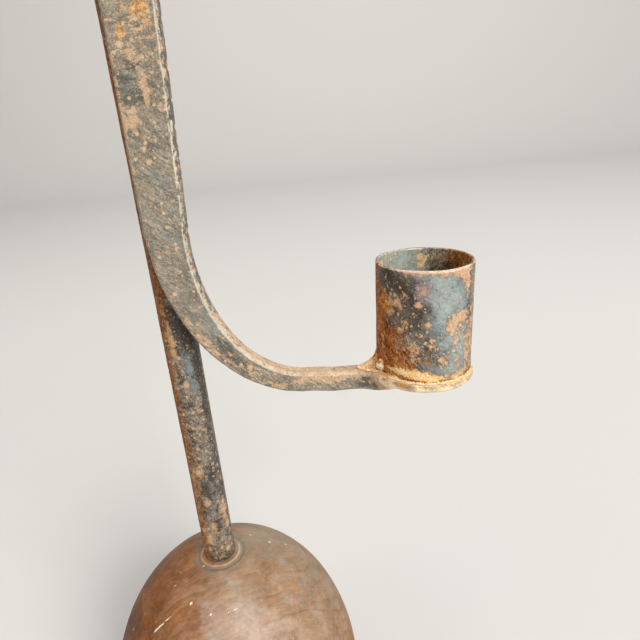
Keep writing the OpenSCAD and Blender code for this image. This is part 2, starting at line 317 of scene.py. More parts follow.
def blank(node: str, name: str, voxel: float, rounds: int, lumps: Sequence[tuple[Point, float]] = ()) -> Skin:
    """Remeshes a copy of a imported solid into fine, even quads, as a blank to be hammered.

    Args:
        node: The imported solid.
        name: The new piece's name.
        voxel: The size of the quads in millimetres.
        rounds: How often the arrises are smoothed.
        lumps: Balls that are melted onto it, each a middle and a radius in millimetres.

    Returns:
        The blank.
    """
    work = bmesh.new()
    work.from_mesh(frame["nodes"][node].data)
    bmesh.ops.remove_doubles(work, verts=work.verts, dist=0.002 * MM)
    for middle, radius in lumps:
        spot = Matrix.Translation(Vector(middle) * MM)
        bmesh.ops.create_icosphere(work, subdivisions=3, radius=radius * MM, matrix=spot)
    mesh = bpy.data.meshes.new(name)
    work.to_mesh(mesh)
    work.free()
    piece = link(name, mesh)
    remesh = piece.modifiers.new("fine quads", "REMESH")
    remesh.mode = "VOXEL"
    remesh.voxel_size = voxel * MM
    remesh.use_smooth_shade = True
    smooth = piece.modifiers.new("worn arrises", "SMOOTH")
    smooth.iterations = rounds
    fine = bpy.data.meshes.new_from_object(piece.evaluated_get(bpy.context.evaluated_depsgraph_get()))
    piece.modifiers.clear()
    piece.data = fine
    bpy.data.meshes.remove(mesh)
    fine.name = name
    fine.materials.clear()
    return Skin(piece)


def turned(name: str, grid: np.ndarray) -> Skin:
    """Closes a grid of points into a ring-shaped skin.

    Args:
        name: The piece's name.
        grid: Rows round the section, columns round the axis, each a point in millimetres.

    Returns:
        The skin, with its faces outwards.
    """
    rows, columns, _ = grid.shape
    index = np.arange(rows * columns).reshape(rows, columns)
    beside = np.roll(index, -1, axis=1)
    below, across = np.roll(index, -1, axis=0), np.roll(beside, -1, axis=0)
    faces = np.stack([index, beside, across, below], axis=2).reshape(-1, 4)
    mesh = bpy.data.meshes.new(name)
    mesh.from_pydata((grid.reshape(-1, 3) * MM).tolist(), [], faces.tolist())
    work = bmesh.new()
    work.from_mesh(mesh)
    if work.calc_volume(signed=True) < 0:
        bmesh.ops.reverse_faces(work, faces=work.faces)
    work.to_mesh(mesh)
    work.free()
    return Skin(link(name, mesh))


# Shader graphs


class Graph:
    """Places nodes in one shader tree and joins them."""

    def __init__(self, tree: bpy.types.NodeTree) -> None:
        """Keeps the tree that is worked on."""
        self.tree = tree

    def node(self, kind: str, inputs: dict | None = None, **settings: object) -> bpy.types.Node:
        """Adds a node.

        Args:
            kind: Its type without the ShaderNode in front.
            inputs: Sockets by name or number, each given a value or joined to a socket.
            **settings: The node's own settings.

        Returns:
            The node.
        """
        made = self.tree.nodes.new("ShaderNode" + kind)
        for key, value in settings.items():
            setattr(made, key, value)
        for key, value in (inputs or {}).items():
            self.feed(made.inputs[key], value)
        return made

    def feed(self, target: Socket, value: object) -> None:
        """Joins a socket to another or sets its value."""
        if isinstance(value, Socket):
            self.tree.links.new(value, target)
        else:
            target.default_value = value

    def math(self, operation: str, *values: object, clamp: bool = False) -> Socket:
        """A Math node's result."""
        made = self.node("Math", operation=operation, use_clamp=clamp)
        for target, value in zip(made.inputs, values):
            self.feed(target, value)
        return made.outputs[0]

    def vector(self, operation: str, *values: object) -> bpy.types.Node:
        """A Vector Math node."""
        made = self.node("VectorMath", operation=operation)
        for target, value in zip(made.inputs, values):
            self.feed(target, value)
        return made

    def mix(self, share: object, under: object, over: object) -> Socket:
        """A colour between two others."""
        made = self.node("Mix", data_type="RGBA", clamp_factor=True)
        for target, value in zip((made.inputs[0], made.inputs[6], made.inputs[7]), (share, under, over)):
            self.feed(target, value)
        return made.outputs[2]

    def tones(self, share: object, codes: Tones) -> Socket:
        """A colour from a row of tones, the first at 0 and the last at 1."""
        made = self.node("ValToRGB", {0: share})
        stops = made.color_ramp.elements
        for _ in codes[2:]:
            stops.new(0.5)
        for k, code in enumerate(codes):
            stops[k].position = k / (len(codes) - 1)
            stops[k].color = colour(code)
        return made.outputs[0]

    def between(self, share: object, low: object, high: object) -> Socket:
        """A number between two others."""
        return self.node("MapRange", {"Value": share, "To Min": low, "To Max": high}).outputs[0]

    def step(self, value: object, low: object, high: object) -> Socket:
        """Rises smoothly from 0 to 1 between two values."""
        kept = {"Value": value, "From Min": low, "From Max": high}
        return self.node("MapRange", kept, interpolation_type="SMOOTHSTEP").outputs[0]

    def noise(self, vector: object, scale: object, detail: object, rough: float = 0.6) -> Socket:
        """Fractal noise of about 0.2 to 0.8."""
        kept = {"Vector": vector, "Scale": scale, "Detail": detail, "Roughness": rough}
        return self.node("TexNoise", kept).outputs[0]

    def attribute(self, layer: Layer | str) -> bpy.types.Node:
        """Reads a vertex attribute."""
        name = layer.value if isinstance(layer, Layer) else layer
        return self.node("Attribute", attribute_type="GEOMETRY", attribute_name=name)

    def use(self, group: bpy.types.NodeTree, **values: object) -> Socket:
        """Places a node group.

        Args:
            group: The group.
            **values: Its inputs by name.

        Returns:
            Its first output.
        """
        made = self.tree.nodes.new("ShaderNodeGroup")
        made.node_tree = group
        for key, value in values.items():
            self.feed(made.inputs[key], value)
        return made.outputs[0]


def new_group(
    name: str, inputs: dict[str, tuple[str, object]], output: tuple[str, str]
) -> tuple[bpy.types.NodeTree, dict[str, Socket], Callable[[Socket], None]]:
    """Starts a shader node group.

    Args:
        name: The group's name.
        inputs: Socket type and default value by name.
        output: The output's name and socket type.

    Returns:
        The group, its inputs as seen from inside, and a function that takes the result.
    """
    tree = bpy.data.node_groups.new(name, "ShaderNodeTree")
    for key, (kind, default) in inputs.items():
        made = tree.interface.new_socket(name=key, in_out="INPUT", socket_type="NodeSocket" + kind)
        if default is not None:
            made.default_value = default
    tree.interface.new_socket(name=output[0], in_out="OUTPUT", socket_type="NodeSocket" + output[1])
    source = tree.nodes.new("NodeGroupInput")
    sink = tree.nodes.new("NodeGroupOutput")

    def finish(result: Socket) -> None:
        """Joins the result to the group's output."""
        tree.links.new(result, sink.inputs[0])

    return tree, {key: source.outputs[key] for key in inputs}, finish


class Effects:
    """The node groups that several finishes share. Vectors are in millimetres."""

    def __init__(self) -> None:
        """Builds each group once."""
        self.coverage = self.make_coverage()
        self.flecks = self.make_flecks()
        self.scratches = self.make_scratches()
        self.worn_edge = self.make_worn_edge()
        self.pits = self.make_pits()
        self.nick = self.make_nick()

    @staticmethod
    def make_coverage() -> bpy.types.NodeTree:
        """Ragged blotches with a speckled border that cover the given share of a surface."""
        sockets = {
            "Vector": ("Vector", None),
            "Weight": ("Float", 0.5),
            "Size": ("Float", 3.0),
            "Grain": ("Float", 0.25),
            "Soft": ("Float", 0.04),
            "Shift": ("Vector", (0.0, 0.0, 0.0)),
        }
        tree, use, finish = new_group("coverage", sockets, ("Mask", "Float"))
        g = Graph(tree)
        moved = g.vector("ADD", use["Vector"], use["Shift"]).outputs[0]
        scale = g.math("DIVIDE", 1.0, use["Size"])
        lumps = g.noise(moved, scale, 7.0, 0.66)
        fine = g.noise(moved, g.math("MULTIPLY", scale, 5.0), 4.0, 0.7)
        pushed = g.math("MULTIPLY_ADD", g.math("SUBTRACT", fine, 0.5), use["Grain"], lumps)
        level = g.between(use["Weight"], 0.80, 0.20)
        finish(g.step(pushed, g.math("SUBTRACT", level, use["Soft"]), g.math("ADD", level, use["Soft"])))
        return tree

    @staticmethod
    def make_flecks() -> bpy.types.NodeTree:
        """Separate small round flecks of uneven size."""
        sockets = {
            "Vector": ("Vector", None),
            "Spacing": ("Float", 2.0),
            "Share": ("Float", 0.3),
            "Radius": ("Float", 0.3),
            "Ragged": ("Float", 0.3),
        }
        tree, use, finish = new_group("flecks", sockets, ("Mask", "Float"))
        g = Graph(tree)
        wobble = g.node("TexNoise", {"Vector": use["Vector"], "Scale": 1.6, "Detail": 3.0}).outputs[1]
        pulled = g.vector("MULTIPLY_ADD", wobble, use["Ragged"], use["Vector"])
        cells = g.node("TexVoronoi", {"Vector": pulled.outputs[0]})
        g.feed(cells.inputs["Scale"], g.math("DIVIDE", 1.0, use["Spacing"]))
        pick = g.node("SeparateColor", {0: cells.outputs["Color"]})
        there = g.math("LESS_THAN", pick.outputs[0], use["Share"])
        radius = g.math("MULTIPLY", use["Radius"], g.math("MULTIPLY_ADD", pick.outputs[1], 1.1, 0.45))
        inside = g.step(cells.outputs["Distance"], radius, g.math("MULTIPLY", radius, 0.72))
        finish(g.math("MULTIPLY", inside, there))
        return tree

    @staticmethod
    def make_scratches() -> bpy.types.NodeTree:
        """Fine broken parallel strokes on a flat chart, from 0 in the dark ones to 1 in the light ones."""
        sockets = {
            "Vector": ("Vector", None),
            "Angle": ("Float", 0.0),
            "Length": ("Float", 4.0),
            "Width": ("Float", 0.5),
        }
        tree, use, finish = new_group("scratches", sockets, ("Stroke", "Float"))
        g = Graph(tree)
        bent = g.node("TexNoise", {"Vector": use["Vector"], "Scale": 0.35, "Detail": 2.0}).outputs[1]
        pulled = g.vector("MULTIPLY_ADD", bent, (1.2, 1.2, 1.2), use["Vector"]).outputs[0]
        turn = g.node("VectorRotate", {"Vector": pulled, "Angle": use["Angle"]}, rotation_type="Z_AXIS")
        size = g.node("CombineXYZ", {0: use["Length"], 1: use["Width"], 2: use["Length"]}).outputs[0]
        drawn = g.vector("DIVIDE", turn.outputs[0], size).outputs[0]
        finish(g.step(g.noise(drawn, 1.0, 2.5, 0.6), 0.30, 0.70))
        return tree

    @staticmethod
    def make_worn_edge() -> bpy.types.NodeTree:
        """The worn line along an arris, from the mesh's own bend."""
        sockets = {
            "Vector": ("Vector", None),
            "Bend": ("Float", 0.0),
            "Weight": ("Float", 0.5),
            "Size": ("Float", 1.2),
        }
        tree, use, finish = new_group("worn_edge", sockets, ("Mask", "Float"))
        g = Graph(tree)
        ragged = g.noise(use["Vector"], g.math("DIVIDE", 1.0, use["Size"]), 5.0, 0.6)
        push = g.math("MULTIPLY_ADD", g.math("SUBTRACT", ragged, 0.5), 0.9, use["Bend"])
        level = g.between(use["Weight"], 0.75, 0.10)
        finish(g.step(push, level, g.math("ADD", level, 0.22)))
        return tree

    @staticmethod
    def make_pits() -> bpy.types.NodeTree:
        """The height of a corroded skin: shallow round pits in a grainy ground."""
        sockets = {"Vector": ("Vector", None), "Size": ("Float", 1.4), "Grain": ("Float", 0.35)}
        tree, use, finish = new_group("pits", sockets, ("Height", "Float"))
        g = Graph(tree)
        scale = g.math("DIVIDE", 1.0, use["Size"])
        wobble = g.node("TexNoise", {"Vector": use["Vector"], "Scale": 1.1, "Detail": 3.0}).outputs[1]
        pulled = g.vector("MULTIPLY_ADD", wobble, (1.4, 1.4, 1.4), use["Vector"]).outputs[0]
        cells = g.node("TexVoronoi", {"Vector": pulled, "Scale": scale})
        bowl = g.step(cells.outputs["Distance"], 0.12, 0.42)
        lumps = g.noise(use["Vector"], g.math("MULTIPLY", scale, 1.3), 7.0, 0.66)
        fine = g.noise(use["Vector"], g.math("MULTIPLY", scale, 6.0), 4.0, 0.65)
        body = g.math("MULTIPLY_ADD", bowl, 0.18, lumps)
        finish(g.math("MULTIPLY_ADD", fine, use["Grain"], body))
        return tree

    @staticmethod
    def make_nick() -> bpy.types.NodeTree:
        """One placed scratch, or a speck where its ends are one point."""
        sockets = {
            "Vector": ("Vector", None),
            "Start": ("Vector", (0.0, 0.0, 0.0)),
            "End": ("Vector", (0.0, 0.0, 1.0)),
            "Width": ("Float", 0.4),
            "Broken": ("Float", 0.0),
        }
        tree, use, finish = new_group("nick", sockets, ("Mask", "Float"))
        g = Graph(tree)
        reach = g.vector("SUBTRACT", use["End"], use["Start"]).outputs[0]
        offset = g.vector("SUBTRACT", use["Vector"], use["Start"]).outputs[0]
        length = g.math("MAXIMUM", g.vector("DOT_PRODUCT", reach, reach).outputs["Value"], 0.0001)
        along = g.vector("DOT_PRODUCT", offset, reach).outputs["Value"]
        share = g.math("DIVIDE", along, length, clamp=True)
        nearest = g.vector("SCALE", reach)
        g.feed(nearest.inputs["Scale"], share)
        away = g.vector("SUBTRACT", offset, nearest.outputs[0]).outputs[0]
        far = g.vector("LENGTH", away).outputs["Value"]
        ragged = g.noise(use["Vector"], 1.1, 3.0, 0.6)
        gap = g.math("MULTIPLY", g.step(ragged, 0.56, 0.42), use["Broken"])
        width = g.math("MULTIPLY", use["Width"], g.math("SUBTRACT", 1.0, gap))
        finish(g.step(far, width, g.math("MULTIPLY", width, 0.45)))
        return tree


@dataclass(frozen=True)
class IronFinish:
    """Old iron: a mottled ground with bared metal under a painted sheen, soot, rust, tan scale, strokes, flecks and
    worn arrises.

    Tones go from dark to light. Covers are the shares of the surface from 0 to 1, before the painted
    patches add to them. The drawn pattern is stretched on the chart at an angle, where a piece has one.
    The soot, rust and worn layers also carry painted shade, shadow and highlights on some pieces, and a
    dark rim, partly painted shade, edges the scale.
    """

    name: str
    ground: Tones = ("#3F3B35", "#6A6257", "#877D6F", "#A39885")
    sheen: Tones = ("#66706F", "#8A928E", "#B0B6AF")
    soot: Tones = ("#1D1C19", "#38342E")
    rust: Tones = ("#3A200E", "#6B4020", "#985F2E", "#BD874B")
    crust: Tones = ("#94734F", "#BC9468", "#D8BB95")
    tint: Tones = ("#6E5E5E", "#A58D92", "#CDB6B6")
    brass: Tones = ("#6E4216", "#BE8C46", "#E8CB88", "#F8ECC6")
    fleck: str = "#DCC2A0"
    arris: str = "#D9C8B4"
    bare_sheen_cover: float = 0.16
    soot_cover: float = 0.24
    rust_cover: float = 0.26
    crust_cover: float = 0.30
    fleck_share: float = 0.28
    grit: float = 0.30
    stroke: float = 0.30
    stroke_angle: float = 0.7
    arris_cover: float = 0.50
    speckle: float = 0.45
    mottle: float = 1.6
    stretch: float = 1.0
    bare_sheen_soft: float = 0.12
    soot_soft: float = 0.09
    crust_soft: float = 0.05
    crust_rim_and_shade: float = 0.45
    crumble: float = 0.45
    spot_soft: float = 0.30
    spot_ragged: float = 1.0
    charted: bool = False
    shine: float = 0.42
    gloss: float = 0.55
    relief: float = 0.16

    def material(self, effects: Effects) -> bpy.types.Material:
        """Builds the shader.

        Args:
            effects: The shared node groups.

        Returns:
            The material.
        """
        made = bpy.data.materials.new(self.name)
        made.use_nodes = True
        tree = made.node_tree
        tree.nodes.clear()
        g = Graph(tree)
        where = g.vector("SCALE", g.node("TexCoord").outputs["Object"])
        where.inputs["Scale"].default_value = 1 / MM
        at = where.outputs[0]
        chart = g.attribute("chart").outputs["Vector"]
        painted = {layer: g.attribute(layer).outputs["Fac"] for layer in Layer}
        bend = g.attribute("bend").outputs["Fac"]
        drawn = at
        if self.charted:
            turned_chart = g.node("VectorRotate", {"Vector": chart}, rotation_type="Z_AXIS")
            turned_chart.inputs["Angle"].default_value = self.stroke_angle
            drawn = g.vector("DIVIDE", turned_chart.outputs[0], (self.stretch, 1.0, 1.0)).outputs[0]

        def cover(layer: Layer, base: float, size: float, soft: float, seed: float, grain: float) -> Socket:
            """The ragged mask of one layer."""
            kept = {"Weight": g.math("ADD", painted[layer], base), "Size": size, "Soft": soft, "Grain": grain}
            return g.use(effects.coverage, Vector=drawn, Shift=(seed * 31.0, seed * 7.0, seed * 13.0), **kept)

        broad = g.noise(drawn, 0.30, 4.0, 0.6)
        middle = g.noise(drawn, 1.2, 6.0, 0.7)
        grain = g.noise(at, 3.6, 5.0, 0.72)
        sum_of = g.math("MULTIPLY_ADD", broad, 0.45, g.math("MULTIPLY_ADD", middle, 0.65, grain))
        tone = g.step(sum_of, 0.78, 1.32)
        strokes = g.use(effects.scratches, Vector=chart, Angle=self.stroke_angle, Length=4.5, Width=0.55)
        drawn_share = g.math("ADD", painted[Layer.HATCH], self.stroke, clamp=True)
        swing = g.math("MULTIPLY", g.math("SUBTRACT", strokes, 0.5), drawn_share)
        tone = g.math("ADD", tone, g.math("MULTIPLY", swing, 1.1), clamp=True)

        surface = g.tones(tone, self.ground)
        # Bared metal under a painted sheen, lighter where more is painted: a painted reflection.
        bare_and_sheen = cover(Layer.BARE_AND_SHEEN, self.bare_sheen_cover, self.mottle * 2.4, self.bare_sheen_soft, 1.0, 0.30)
        sheen_level = g.math("MULTIPLY_ADD", painted[Layer.BARE_AND_SHEEN], 0.40, g.math("MULTIPLY", broad, 0.55), clamp=True)
        surface = g.mix(g.math("MULTIPLY", bare_and_sheen, 0.9), surface, g.tones(sheen_level, self.sheen))
        # Soot and dark scale, with painted shade and shadow where they are painted into this layer.
        soot = cover(Layer.SOOT_AND_SHADE, self.soot_cover, self.mottle * 1.6, self.soot_soft, 2.0, 0.55)
        surface = g.mix(g.math("MULTIPLY", soot, 0.85), surface, g.tones(tone, self.soot))
        film = cover(Layer.TINT, 0.0, self.mottle * 1.3, 0.14, 5.0, 0.50)
        surface = g.mix(g.math("MULTIPLY", film, 0.75), surface, g.tones(tone, self.tint))
        # Rust, with painted shade and shadow in rust tones where they are painted into this layer.
        rust = cover(Layer.RUST_AND_SHADE, self.rust_cover, self.mottle * 1.9, 0.08, 3.0, 0.60)
        surface = g.mix(g.math("MULTIPLY", rust, 0.92), surface, g.tones(tone, self.rust))
        hollow = g.step(bend, -0.10, -0.60)
        surface = g.mix(g.math("MULTIPLY", hollow, 0.55), surface, colour(self.rust[0]))
        # A dark rim round the scale: partly its own edge, partly painted shade at its raised border.
        crust = cover(Layer.CRUST, self.crust_cover, self.mottle, self.crust_soft, 4.0, self.crumble)
        around = cover(Layer.CRUST, self.crust_cover + 0.08, self.mottle, self.crust_soft, 4.0, self.crumble)
        border = g.math("MULTIPLY", g.math("SUBTRACT", around, crust, clamp=True), self.crust_rim_and_shade)
        surface = g.mix(border, surface, colour(self.soot[0]))
        chalk = g.math("MULTIPLY_ADD", grain, 0.80, g.math("MULTIPLY_ADD", tone, 0.60, -0.18))
        surface = g.mix(g.math("MULTIPLY", crust, 0.88), surface, g.tones(chalk, self.crust))
        pepper = g.math("MULTIPLY", g.step(grain, 0.45, 0.36), self.speckle)
        surface = g.mix(pepper, surface, colour(self.soot[0]))
        smear = cover(Layer.BRASS, 0.0, self.mottle * 1.2, 0.10, 6.0, 0.60)
        gleam = g.math("MULTIPLY_ADD", painted[Layer.BRASS], 0.30, g.math("SUBTRACT", chalk, 0.10), clamp=True)
        surface = g.mix(g.math("MULTIPLY", smear, 0.92), surface, g.tones(gleam, self.brass))
        salt = g.math("MULTIPLY", g.step(g.noise(drawn, 2.1, 5.0, 0.75), 0.57, 0.66), self.speckle)
        flecks = g.use(
            effects.flecks, Vector=at, Spacing=1.5, Share=self.fleck_share, Radius=0.24, Ragged=0.55
        )
        light = g.math("MAXIMUM", g.math("MULTIPLY", flecks, 0.7), g.math("MULTIPLY", salt, 0.8))
        grit = g.use(effects.flecks, Vector=at, Spacing=0.75, Share=self.grit, Radius=0.26, Ragged=0.30)
        light = g.math("MAXIMUM", light, g.math("MULTIPLY", grit, 0.55))
        ragged = g.math(
            "MULTIPLY_ADD", g.math("SUBTRACT", middle, 0.5), 1.9 * self.spot_ragged, painted[Layer.SPOT]
        )
        ragged = g.math("MULTIPLY_ADD", g.math("SUBTRACT", grain, 0.5), 1.2 * self.spot_ragged, ragged)
        spots = g.step(ragged, -0.02, self.spot_soft)
        surface = g.mix(light, surface, colour(self.fleck))
        bright = g.math("MULTIPLY_ADD", painted[Layer.SPOT], 0.6, g.math("MULTIPLY", tone, 0.7))
        surface = g.mix(g.math("MULTIPLY", spots, 0.92), surface, g.tones(bright, (self.crust[0], self.fleck)))
        light = g.math("MAXIMUM", light, spots)
        # Worn arrises, with painted highlights where worn patches are painted along rims.
        worn_and_highlight_weight = g.math("ADD", painted[Layer.WORN_AND_HIGHLIGHT], self.arris_cover)
        arris = g.use(effects.worn_edge, Vector=at, Bend=bend, Weight=worn_and_highlight_weight, Size=1.1)
        surface = g.mix(g.math("MULTIPLY", arris, g.between(tone, 0.45, 0.9)), surface, colour(self.arris))

        matt = g.math("MAXIMUM", g.math("MAXIMUM", crust, rust), spots)
        rough = g.between(matt, self.shine, 0.80)
        rough = g.math("MULTIPLY_ADD", grain, 0.30, g.math("SUBTRACT", rough, 0.15))
        skin = g.use(effects.pits, Vector=at, Size=self.mottle * 0.9, Grain=0.40)
        height = g.math("MULTIPLY_ADD", matt, 0.25, skin)
        height = g.math("MULTIPLY_ADD", swing, 0.30, height)
        height = g.math("MULTIPLY_ADD", light, 0.20, height)
        calm = g.math("MULTIPLY", bare_and_sheen, g.math("SUBTRACT", 1.0, matt))
        height = g.math("MULTIPLY", height, g.math("MULTIPLY_ADD", calm, -0.65, 1.0))
        bump = g.node("Bump", {"Height": height, "Strength": 0.85, "Distance": self.relief * MM})
        shader = g.node("BsdfPrincipled", {"Base Color": surface, "Roughness": rough, "Normal": bump.outputs[0]})
        shader.inputs["Specular IOR Level"].default_value = self.gloss
        sink = g.node("OutputMaterial")
        tree.links.new(shader.outputs[0], sink.inputs["Surface"])
        return made


@dataclass(frozen=True)
class Scratch:
    """A pale scratch in the wood, or a speck where both ends are the same, in millimetres."""

    start: Point
    end: Point
    width: float
    broken: float = 0.0


@dataclass(frozen=True)
class WoodFinish:
    """Old turned hardwood, dusty and scuffed, with the growth rings that the dome cuts.

    On the wood, the rust layer stands for the warm varnished finish, darker towards the bottom, with painted
    shade on the left side and on faces turned downwards; tint for painted shade on the far left side in a darker
    tone; soot for painted shade in the groove; crust for the pale ring at the stem's foot; and bare for a painted
    highlight over a scuffed place on the front.
    """

    name: str
    wood: Tones = ("#7A5A40", "#957253", "#A88669", "#BA997C")
    varnish_and_shade: Tones = ("#4A2406", "#854A16", "#BA7A34")
    painted_left_shade: Tones = ("#1E0D02", "#3C1C06", "#5E3010")
    ring: str = "#6B4A31"
    dust: Tones = ("#7F7564", "#9E9382")
    rubbed_highlight: str = "#CEC0B6"
    groove_shade: str = "#77766C"
    pale_ring: str = "#D2B48E"
    pale: str = "#F0DDC0"
    pith: Point = (8.4, -20.0, 12.0)
    pith_axis: Point = (-0.30, 0.93, -0.21)
    ring_width: float = 1.7
    shine: float = 0.46
    scratches: tuple[Scratch, ...] = ()

    def material(self, effects: Effects) -> bpy.types.Material:
        """Builds the shader.

        Args:
            effects: The shared node groups.

        Returns:
            The material.
        """
        made = bpy.data.materials.new(self.name)
        made.use_nodes = True
        tree = made.node_tree
        tree.nodes.clear()
        g = Graph(tree)
        where = g.vector("SCALE", g.node("TexCoord").outputs["Object"])
        where.inputs["Scale"].default_value = 1 / MM
        at = where.outputs[0]
        painted = {layer: g.attribute(layer).outputs["Fac"] for layer in Layer}

        def cover(layer: Layer, vector: Socket, size: float, soft: float, seed: float) -> Socket:
            """The ragged mask of one layer."""
            kept = {"Weight": painted[layer], "Size": size, "Soft": soft, "Grain": 0.35}
            return g.use(effects.coverage, Vector=vector, Shift=(seed * 31.0, seed * 7.0, seed * 13.0), **kept)

        axis = Vector(self.pith_axis).normalized()
        level = axis.cross(Vector((0, 0, 1))).normalized()
        offset = g.vector("SUBTRACT", at, self.pith).outputs[0]
        aside = g.vector("DOT_PRODUCT", offset, tuple(level)).outputs["Value"]
        above = g.vector("DOT_PRODUCT", offset, tuple(level.cross(axis))).outputs["Value"]
        along = g.vector("DOT_PRODUCT", offset, tuple(axis)).outputs["Value"]
        far = g.vector("LENGTH", g.node("CombineXYZ", {0: aside, 1: above, 2: 0.0}).outputs[0])
        radius = g.math("MULTIPLY_ADD", g.noise(at, 0.05, 2.0, 0.5), 5.0, far.outputs["Value"])
        radius = g.math("MULTIPLY_ADD", g.noise(at, 0.30, 3.0, 0.5), 0.35, radius)
        arc = g.math("MULTIPLY", g.math("ARCTAN2", aside, above), 5.0)
        fibre_at = g.node("CombineXYZ", {0: radius, 1: arc, 2: g.math("MULTIPLY", along, 0.12)}).outputs[0]
        fibre = g.noise(fibre_at, 2.4, 4.0, 0.68)
        streak = g.step(g.noise(fibre_at, 1.1, 4.0, 0.62), 0.42, 0.34)
        year = g.math("FRACT", g.math("DIVIDE", radius, self.ring_width))
        late = g.math("MULTIPLY", g.step(year, 0.45, 0.88), g.step(year, 1.0, 0.90))
        late = g.math("MULTIPLY", late, g.step(g.noise(fibre_at, 0.28, 3.0, 0.6), 0.36, 0.60))

        blotch = g.noise(at, 0.12, 6.0, 0.62)
        tone = g.step(g.math("MULTIPLY_ADD", fibre, 0.45, g.math("MULTIPLY", blotch, 0.7)), 0.22, 0.96)
        surface = g.tones(tone, self.wood)
        # The warm varnished finish, with painted shade on the left side and on faces turned downwards.
        warm = cover(Layer.RUST_AND_SHADE, at, 9.0, 0.40, 1.0)
        surface = g.mix(g.math("MULTIPLY", warm, 0.95), surface, g.tones(tone, self.varnish_and_shade))
        # Painted shade on the far left side, in a darker tone.
        old = cover(Layer.TINT, at, 14.0, 0.36, 6.0)
        surface = g.mix(g.math("MULTIPLY", old, 0.86), surface, g.tones(tone, self.painted_left_shade))
        lines = g.math("MAXIMUM", g.math("MULTIPLY", late, 0.48), g.math("MULTIPLY", streak, 0.12))
        surface = g.mix(lines, surface, colour(self.ring))
        dust = cover(Layer.DUST, at, 4.0, 0.22, 2.0)
        surface = g.mix(g.math("MULTIPLY", dust, 0.72), surface, g.tones(tone, self.dust))
        # A painted highlight over a scuffed place.
        rubbed_highlight = cover(Layer.BARE_AND_SHEEN, at, 5.0, 0.30, 3.0)
        surface = g.mix(g.math("MULTIPLY", rubbed_highlight, 0.55), surface, colour(self.rubbed_highlight))
        # Painted shade in the groove round the seat.
        groove_shade = cover(Layer.SOOT_AND_SHADE, at, 3.0, 0.34, 4.0)
        surface = g.mix(g.math("MULTIPLY", groove_shade, 0.75), surface, colour(self.groove_shade))
        lip = cover(Layer.CRUST, at, 1.6, 0.30, 5.0)
        surface = g.mix(g.math("MULTIPLY", lip, 0.75), surface, colour(self.pale_ring))
        flecks = g.use(effects.flecks, Vector=at, Spacing=3.2, Share=0.16, Radius=0.07, Ragged=0.3)
        pale = g.math("MULTIPLY", flecks, 0.45)
        for cut in self.scratches:
            mark = g.use(
                effects.nick, Vector=at, Start=cut.start, End=cut.end, Width=cut.width, Broken=cut.broken
            )
            pale = g.math("MAXIMUM", pale, mark)
        surface = g.mix(pale, surface, colour(self.pale))

        dull = g.math("MAXIMUM", g.math("MULTIPLY", dust, 0.8), pale)
        rough = g.math("MULTIPLY_ADD", fibre, 0.20, g.between(dull, self.shine, 0.66))
        turning = g.node("SeparateXYZ", {0: at}).outputs[2]
        lathe = g.noise(g.node("CombineXYZ", {0: turning, 1: 0.0, 2: 0.0}).outputs[0], 1.8, 3.0, 0.6)
        height = g.math("MULTIPLY_ADD", fibre, 0.35, g.math("MULTIPLY", lathe, 0.4))
        height = g.math("MULTIPLY_ADD", lines, -0.5, height)
        height = g.math("MULTIPLY_ADD", pale, -0.6, height)
        bump = g.node("Bump", {"Height": height, "Strength": 0.7, "Distance": 0.10 * MM})
        shader = g.node("BsdfPrincipled", {"Base Color": surface, "Roughness": rough, "Normal": bump.outputs[0]})
        shader.inputs["Specular IOR Level"].default_value = 0.22
        sink = g.node("OutputMaterial")
        tree.links.new(shader.outputs[0], sink.inputs["Surface"])
        return made


# The object


@dataclass(frozen=True)
class Hammering:
    """How rough a forging is, in millimetres."""

    lump_size: float = 9.0
    lump_height: float = 0.10
    pit_size: float = 1.3
    pit_depth: float = 0.09
    grain_size: float = 0.7
    grain_height: float = 0.03
    seed: int = 1

    def depth(self, points: np.ndarray) -> np.ndarray:
        """How far each point moves outwards, in millimetres.

        Args:
            points: Rows of three, in millimetres.

        Returns:
            One value per point, kept at or under the solid's own face.
        """
        lumps = waves(points, self.lump_size, self.seed) * self.lump_height
        pits = ease(waves(points, self.pit_size, self.seed + 1, 2), 0.12, 0.60) * self.pit_depth
        grain = waves(points, self.grain_size, self.seed + 2) * self.grain_height
        return np.minimum(lumps - pits + grain, 0.05)


def place(skin: Skin, node: str, body: Body, slot: Slot, material: bpy.types.Material) -> None:
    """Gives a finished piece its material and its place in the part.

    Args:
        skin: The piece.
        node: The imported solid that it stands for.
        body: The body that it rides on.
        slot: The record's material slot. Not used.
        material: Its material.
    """
    skin.piece.data.materials.append(material)
    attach(skin.piece, body.value)
    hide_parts(node)
    log.info("%s: %d faces, for %s", skin.piece.name, len(skin.piece.data.polygons), node)


